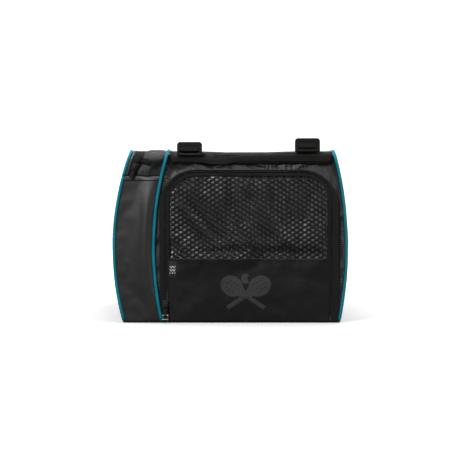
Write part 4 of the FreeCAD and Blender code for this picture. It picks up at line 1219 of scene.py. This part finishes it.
back = Panel(constant(mid(TOP) + 3 * MM), constant(right(TOP) - 3 * MM), FRONT + 5 * MM, REAR - 5 * MM, 68, 108)
quilt_x = [x * MM for x in (-28, 29, 86)]
quilt_y = [y * MM for y in (-150, -50, 50, 150)]
edge = np.minimum(np.minimum(back.a - back.a.min(), back.a.max() - back.a), np.minimum(back.b - back.b.min(),
                                                                                       back.b.max() - back.b))
soft = channels(back.a, back.b, quilt_x, quilt_y, 9 * MM)
back.h = -4.2 * MM + 4.0 * MM * np.sin(soft * math.pi / 2) ** 0.6 + 6.4 * MM * np.exp(-(edge / (6 * MM)) ** 2)
back.cloud(40 * MM, 0.5 * MM, 81)
pinned = border(back.a.shape) | (soft < 0.14)
back.h = settle(back.a, back.b, back.h, pinned, grow=0.006, push=0.4, frames=12)
back.h = np.minimum(back.h, 0.3 * MM + 7.2 * MM * np.exp(-(edge / (6 * MM)) ** 2))
padding = back.mesh("back_panel_padding", lambda a, b, h: grid(a, b, back_high.z + h), SPACER, (0, 0, 1),
                    thick=3.0 * MM)
CUTS.pop("back_panel_padding")
join(padding, "bag", "back_mesh", "back_panel")
seams = [np.stack([np.full(60, x), np.linspace(FRONT + 12 * MM, REAR - 12 * MM, 60),
                   np.full(60, back_high.z - 3.9 * MM)], axis=1) for x in quilt_x]
join(stitches("back_panel_stitches", seams, (0, 0, 1)), "bag", "webbing")


def strap_pad(side):
    """A shoulder strap's pad: a long foam pad with a stitched edge and two sewn channels."""
    low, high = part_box(f"{side}_strap_pad")
    centre, half = (low.x + high.x) / 2, (high.x - low.x) / 2
    body = f"{side}_strap"
    narrow = lambda y: half * (1 - 0.30 * np.clip(1 - (y - low.y) / (70 * MM), 0,
                                                  1) ** 2 - 0.22 * np.clip(1 - (high.y - y) / (50 * MM), 0, 1) ** 2)
    pad = Panel(lambda y: centre - narrow(y), lambda y: centre + narrow(y), low.y, high.y, 34, 110)
    rim = np.minimum(np.minimum(pad.share, 1 - pad.share) * 2 * half, np.minimum(pad.b - low.y, high.y - pad.b))
    soft = np.clip(rim / (13 * MM), 0, 1)
    seam = np.minimum(np.abs(pad.share - 0.36), np.abs(pad.share - 0.64)) * 2 * half
    tall = high.z - low.z
    pad.h = tall * (0.22 + 0.72 * np.sin(soft * math.pi / 2) ** 0.7) - 2.4 * MM * np.exp(-(seam / (2.2 * MM)) ** 2) * (soft > 0.9)
    pad.cloud(35 * MM, 0.5 * MM, 91)
    pad.h = settle(pad.a, pad.b, pad.h, border(pad.a.shape) | (seam < 1.2 * MM), grow=0.006, push=0.3, frames=10)
    pad.h = np.clip(pad.h, 1.6 * MM, tall + 0.4 * MM)
    top = pad.mesh(f"{side}_strap_padding", lambda a, b, h: grid(a, b, low.z + h), SPACER, (0, 0, 1),
                   thick=1.4 * MM)
    CUTS.pop(top.name)
    join(top, body, "back_mesh", f"{side}_strap_pad")
    y = np.linspace(low.y, high.y, 60)
    ring = np.vstack([np.stack([centre - narrow(y), y], axis=1), np.stack([centre + narrow(y[::-1]), y[::-1]],
                                                                          axis=1)])
    edge = np.column_stack([ring, np.full(len(ring), low.z + 2.0 * MM)])
    join(sweep(f"{side}_strap_binding", edge, 1.7 * MM, TAPE, closed=True, sides=8), body, "webbing")
    lines = [np.stack([np.full(60, centre + s * half * 0.28) , y, np.full(60, low.z + tall * 0.66)],
                      axis=1) for s in (-1, 1)]
    join(stitches(f"{side}_strap_stitches", [line[4:-4] for line in lines], (0, 0, 1)), body, "webbing")


def ribbon(name, path, wide, material, across=(1, 0, 0), thick=1.5 * MM, bow=0.25 * MM):
    """Flat webbing along a path; across is the way of its width."""
    path = np.asarray(path, float)
    ahead = np.gradient(path, axis=0)
    ahead /= np.linalg.norm(ahead, axis=1)[:, None]
    across = np.asarray(across, float)
    out = np.cross(across, ahead)
    share = np.linspace(-1, 1, 9)
    points = path[None] + share[:, None, None] * across * wide / 2 + (out * bow)[None] * (1 - share ** 2)[:, None,
                                                                                                          None]
    return sheet_mesh(name, points, material, out[len(out) // 2], thick=thick)


def arc_path(points, step=4 * MM, radius=5 * MM):
    """A polyline whose corners are rounded by averaging."""
    path = resample(points, step)
    for _ in range(int(radius / (1 * MM))):
        path[1:-1] = (path[:-2] + 2 * path[1:-1] + path[2:]) / 4
    return path


for side in ("left", "right"):
    strap_pad(side)
    low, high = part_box(f"{side}_strap_webbing")
    x = (low.x + high.x) / 2
    lock_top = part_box(f"{side}_ladder_lock")[1].z
    pad_low, pad_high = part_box(f"{side}_strap_pad")
    bar = lock_top - 4 * MM
    link = arc_path([(x, FRONT + 3.2 * MM, bar - 6 * MM), (x, FRONT + 4.0 * MM, bar + 0.6 * MM),
                     (x, FRONT + 9 * MM, bar - 1.6 * MM), (x, FRONT + 24 * MM, low.z + 5 * MM),
                     (x, FRONT + 44 * MM, low.z + 1.2 * MM), (x, pad_low.y + 14 * MM, low.z + 1.6 * MM)],
                    radius=3 * MM)
    join(ribbon(f"{side}_strap_link", link, 25 * MM, WEBBING), ("bag", f"{side}_strap", (x, FRONT + 2 * MM, 0.27),
                                                                (x, pad_low.y, 0.27)),
         "webbing", f"{side}_strap_webbing")
    tail = arc_path([(x, FRONT + 12 * MM, TOP - 2 * MM), (x, FRONT + 3 * MM, TOP + 1.8 * MM), (x, FRONT - 0.6 * MM,
                                                                                               TOP - 0.5 * MM),
                     (x, FRONT - 1.4 * MM, TOP + 1.5 * MM), (x, FRONT + 0.6 * MM, TOP + 6 * MM),
                     (x, FRONT + 2.1 * MM, lock_top - 2.4 * MM)], step=2 * MM, radius=2 * MM)
    join(ribbon(f"{side}_lock_tab_cloth", tail, 35.5 * MM, WEBBING, thick=1.2 * MM, bow=0.2 * MM), "bag", "webbing",
         f"{side}_lock_tab")
    keep(f"{side}_lock_webbing", WEBBING, 0.5 * MM)
    keep(f"{side}_ladder_lock", PLASTIC, 0.7 * MM)
    anchor_low, anchor_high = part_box(f"{side}_strap_anchor")
    z = (anchor_low.z + anchor_high.z) / 2
    strip = arc_path([(x, pad_high.y - 10 * MM, pad_low.z + 3 * MM), (x, pad_high.y + 4 * MM,
                                                                      anchor_low.z + 1.4 * MM),
                      (x, anchor_high.y, anchor_low.z + 1.2 * MM)])
    join(ribbon(f"{side}_anchor_webbing", strip, 38 * MM, WEBBING), "bag", "webbing", f"{side}_strap_anchor")
    edge = anchor_low.z + 3.1 * MM
    cross = [np.array([(x - 14 * MM, anchor_high.y - 26 * MM, edge), (x + 14 * MM, anchor_high.y - 6 * MM, edge)]),
             np.array([(x + 14 * MM, anchor_high.y - 26 * MM, edge), (x - 14 * MM, anchor_high.y - 6 * MM, edge)]),
             np.array([(x - 14 * MM, anchor_high.y - 26 * MM, edge), (x + 14 * MM, anchor_high.y - 26 * MM, edge),
                       (x + 14 * MM, anchor_high.y - 6 * MM, edge),
                       (x - 14 * MM, anchor_high.y - 6 * MM, edge), (x - 14 * MM, anchor_high.y - 26 * MM, edge)])]
    join(stitches(f"{side}_anchor_stitches", cross, (0, 0, 1)), "bag", "webbing")

# ---------------------------------------------------------------- grab handle, at the rear

for side in ("left", "right"):
    low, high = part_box(f"{side}_handle_leg")
    x, y = (low.x + high.x) / 2, (low.y + high.y) / 2
    leg = arc_path([(x, y, high.z - 1 * MM), (x, y + 1.5 * MM, (low.z + high.z) / 2 + 8 * MM),
                    (x, y - 0.5 * MM, low.z)], radius=4 * MM)
    join(ribbon(f"{side}_handle_webbing", leg, 24 * MM, WEBBING, thick=2.2 * MM), "grab_handle", "webbing",
         f"{side}_handle_leg")
    keep(f"{side}_handle_bracket", PLASTIC, 0.8 * MM)
low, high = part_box("handle_grip")
stations = np.linspace(low.x, high.x, 46)
taper = np.minimum(1, 0.72 + np.minimum(stations - low.x, high.x - stations) / (16 * MM) * 0.28)
ripple = 1 + 0.018 * np.sin((stations - low.x) * 2 * math.pi / (9 * MM))
grip = sweep("handle_grip_cover", np.stack([stations, np.full(46, (low.y + high.y) / 2),
                                            np.full(46, (low.z + high.z) / 2)], axis=1),
             (high.z - low.z) / 2 * taper * ripple, COATED, sides=24)
join(grip, "grab_handle", "coated_fabric", "handle_grip")

# ---------------------------------------------------------------- zip sliders and pullers

for node in ("pocket_slider", "paddle_upper_slider", "paddle_lower_slider", "door_front_slider",
             "door_rear_slider"):
    keep(node, DARK_METAL, 0.35 * MM)
for node in ("paddle_upper_puller", "paddle_lower_puller", "door_front_puller", "door_rear_puller"):
    keep(node, PLASTIC, 0.4 * MM)
keep("pocket_puller", PLASTIC, 0.4 * MM)
keep("pocket_puller_ring", METAL)

# ---------------------------------------------------------------- floor, light and camera

# a pale floor that curves up all round; it lights nothing, so that the cloth stays as dark as it is
floor_tree = Tree("studio_floor")
floor_tone = floor_tree.noise(3, 2)
away = floor_tree.nodes.new("ShaderNodeVectorMath")
away.operation = "LENGTH"
floor_tree.links.new(floor_tree.place(), away.inputs[0])
glow = floor_tree.ramp(away.outputs["Value"], 1.0, 4.5, 0.0, 0.80)
floor_tree.finish(Base_Color=floor_tree.mix(floor_tone, grey(0.78), grey(0.82)), Roughness=0.9,
                  Specular_IOR_Level=0.0, Emission_Color=grey(1.0), Emission_Strength=glow)
BEND = [(4.0 + 2.0 * math.sin(t), 2.0 * (1 - math.cos(t))) for t in np.linspace(0, math.pi / 2, 20)]
PROFILE = [(0.5, 0.0), (2.0, 0.0)] + BEND + [(6.0, 7.0)]
AROUND = 96
spin = [2 * math.pi * k / AROUND for k in range(AROUND)]
floor_points = [(0, 0, 0)] + [(r * math.cos(t), r * math.sin(t), z) for r, z in PROFILE for t in spin]
floor_faces = [(0, 1 + k, 1 + (k + 1) % AROUND) for k in range(AROUND)]
floor_faces += [(1 + ring * AROUND + k, 1 + (ring + 1) * AROUND + k, 1 + (ring + 1) * AROUND + (k + 1) % AROUND,
                 1 + ring * AROUND + (k + 1) % AROUND) for ring in range(len(PROFILE) - 1) for k in range(AROUND)]
floor = new_object("floor", floor_points, floor_faces, floor_tree.material)
floor.visible_diffuse = floor.visible_glossy = False

world = bpy.data.worlds.new("studio")
world.use_nodes = True
world.node_tree.nodes["Background"].inputs[0].default_value = (1, 1, 1, 1)
world.node_tree.nodes["Background"].inputs[1].default_value = 0.10
bpy.context.scene.world = world


def area_light(name, place, target, size, energy):
    data = bpy.data.lights.new(name, "AREA")
    data.shape, data.size, data.size_y, data.energy = "RECTANGLE", size[0], size[1], energy
    obj = bpy.data.objects.new(name, data)
    obj.location = place
    obj.rotation_mode = "QUATERNION"
    obj.rotation_quaternion = (Vector(target) - Vector(place)).to_track_quat("-Z", "Y")
    bpy.context.scene.collection.objects.link(obj)


area_light("key", (-1.1, -2.1, 1.6), (0, -0.2, 0.13), (0.5, 0.5), 38)
area_light("fill", (2.0, -1.0, 1.0), (0, -0.2, 0.13), (0.9, 0.9), 9)
area_light("overhead", (0, 0, 4.2), (0, 0, 0), (6.0, 6.0), 300)
area_light("back", (0.8, 2.3, 1.2), (0, 0.2, 0.15), (0.9, 0.9), 60)
area_light("left", (-2.3, 0.9, 1.3), (-0.1, 0.1, 0.13), (0.9, 0.9), 20)

camera_data = bpy.data.cameras.new("camera")
camera_data.sensor_width = 36
camera_data.lens = 131.6
camera = bpy.data.objects.new("camera", camera_data)
aim = Vector((7.7 * MM, FRONT, 140.8 * MM))
elevation, distance = math.radians(2.0), 2.75
camera.location = aim + Vector((0, -math.cos(elevation), math.sin(elevation))) * distance
camera.rotation_mode = "QUATERNION"
camera.rotation_quaternion = (aim - camera.location).to_track_quat("-Z", "Y")
bpy.context.scene.collection.objects.link(camera)
bpy.context.scene.camera = camera
bpy.context.scene.view_settings.view_transform = "Standard"

bpy.context.view_layer.update()
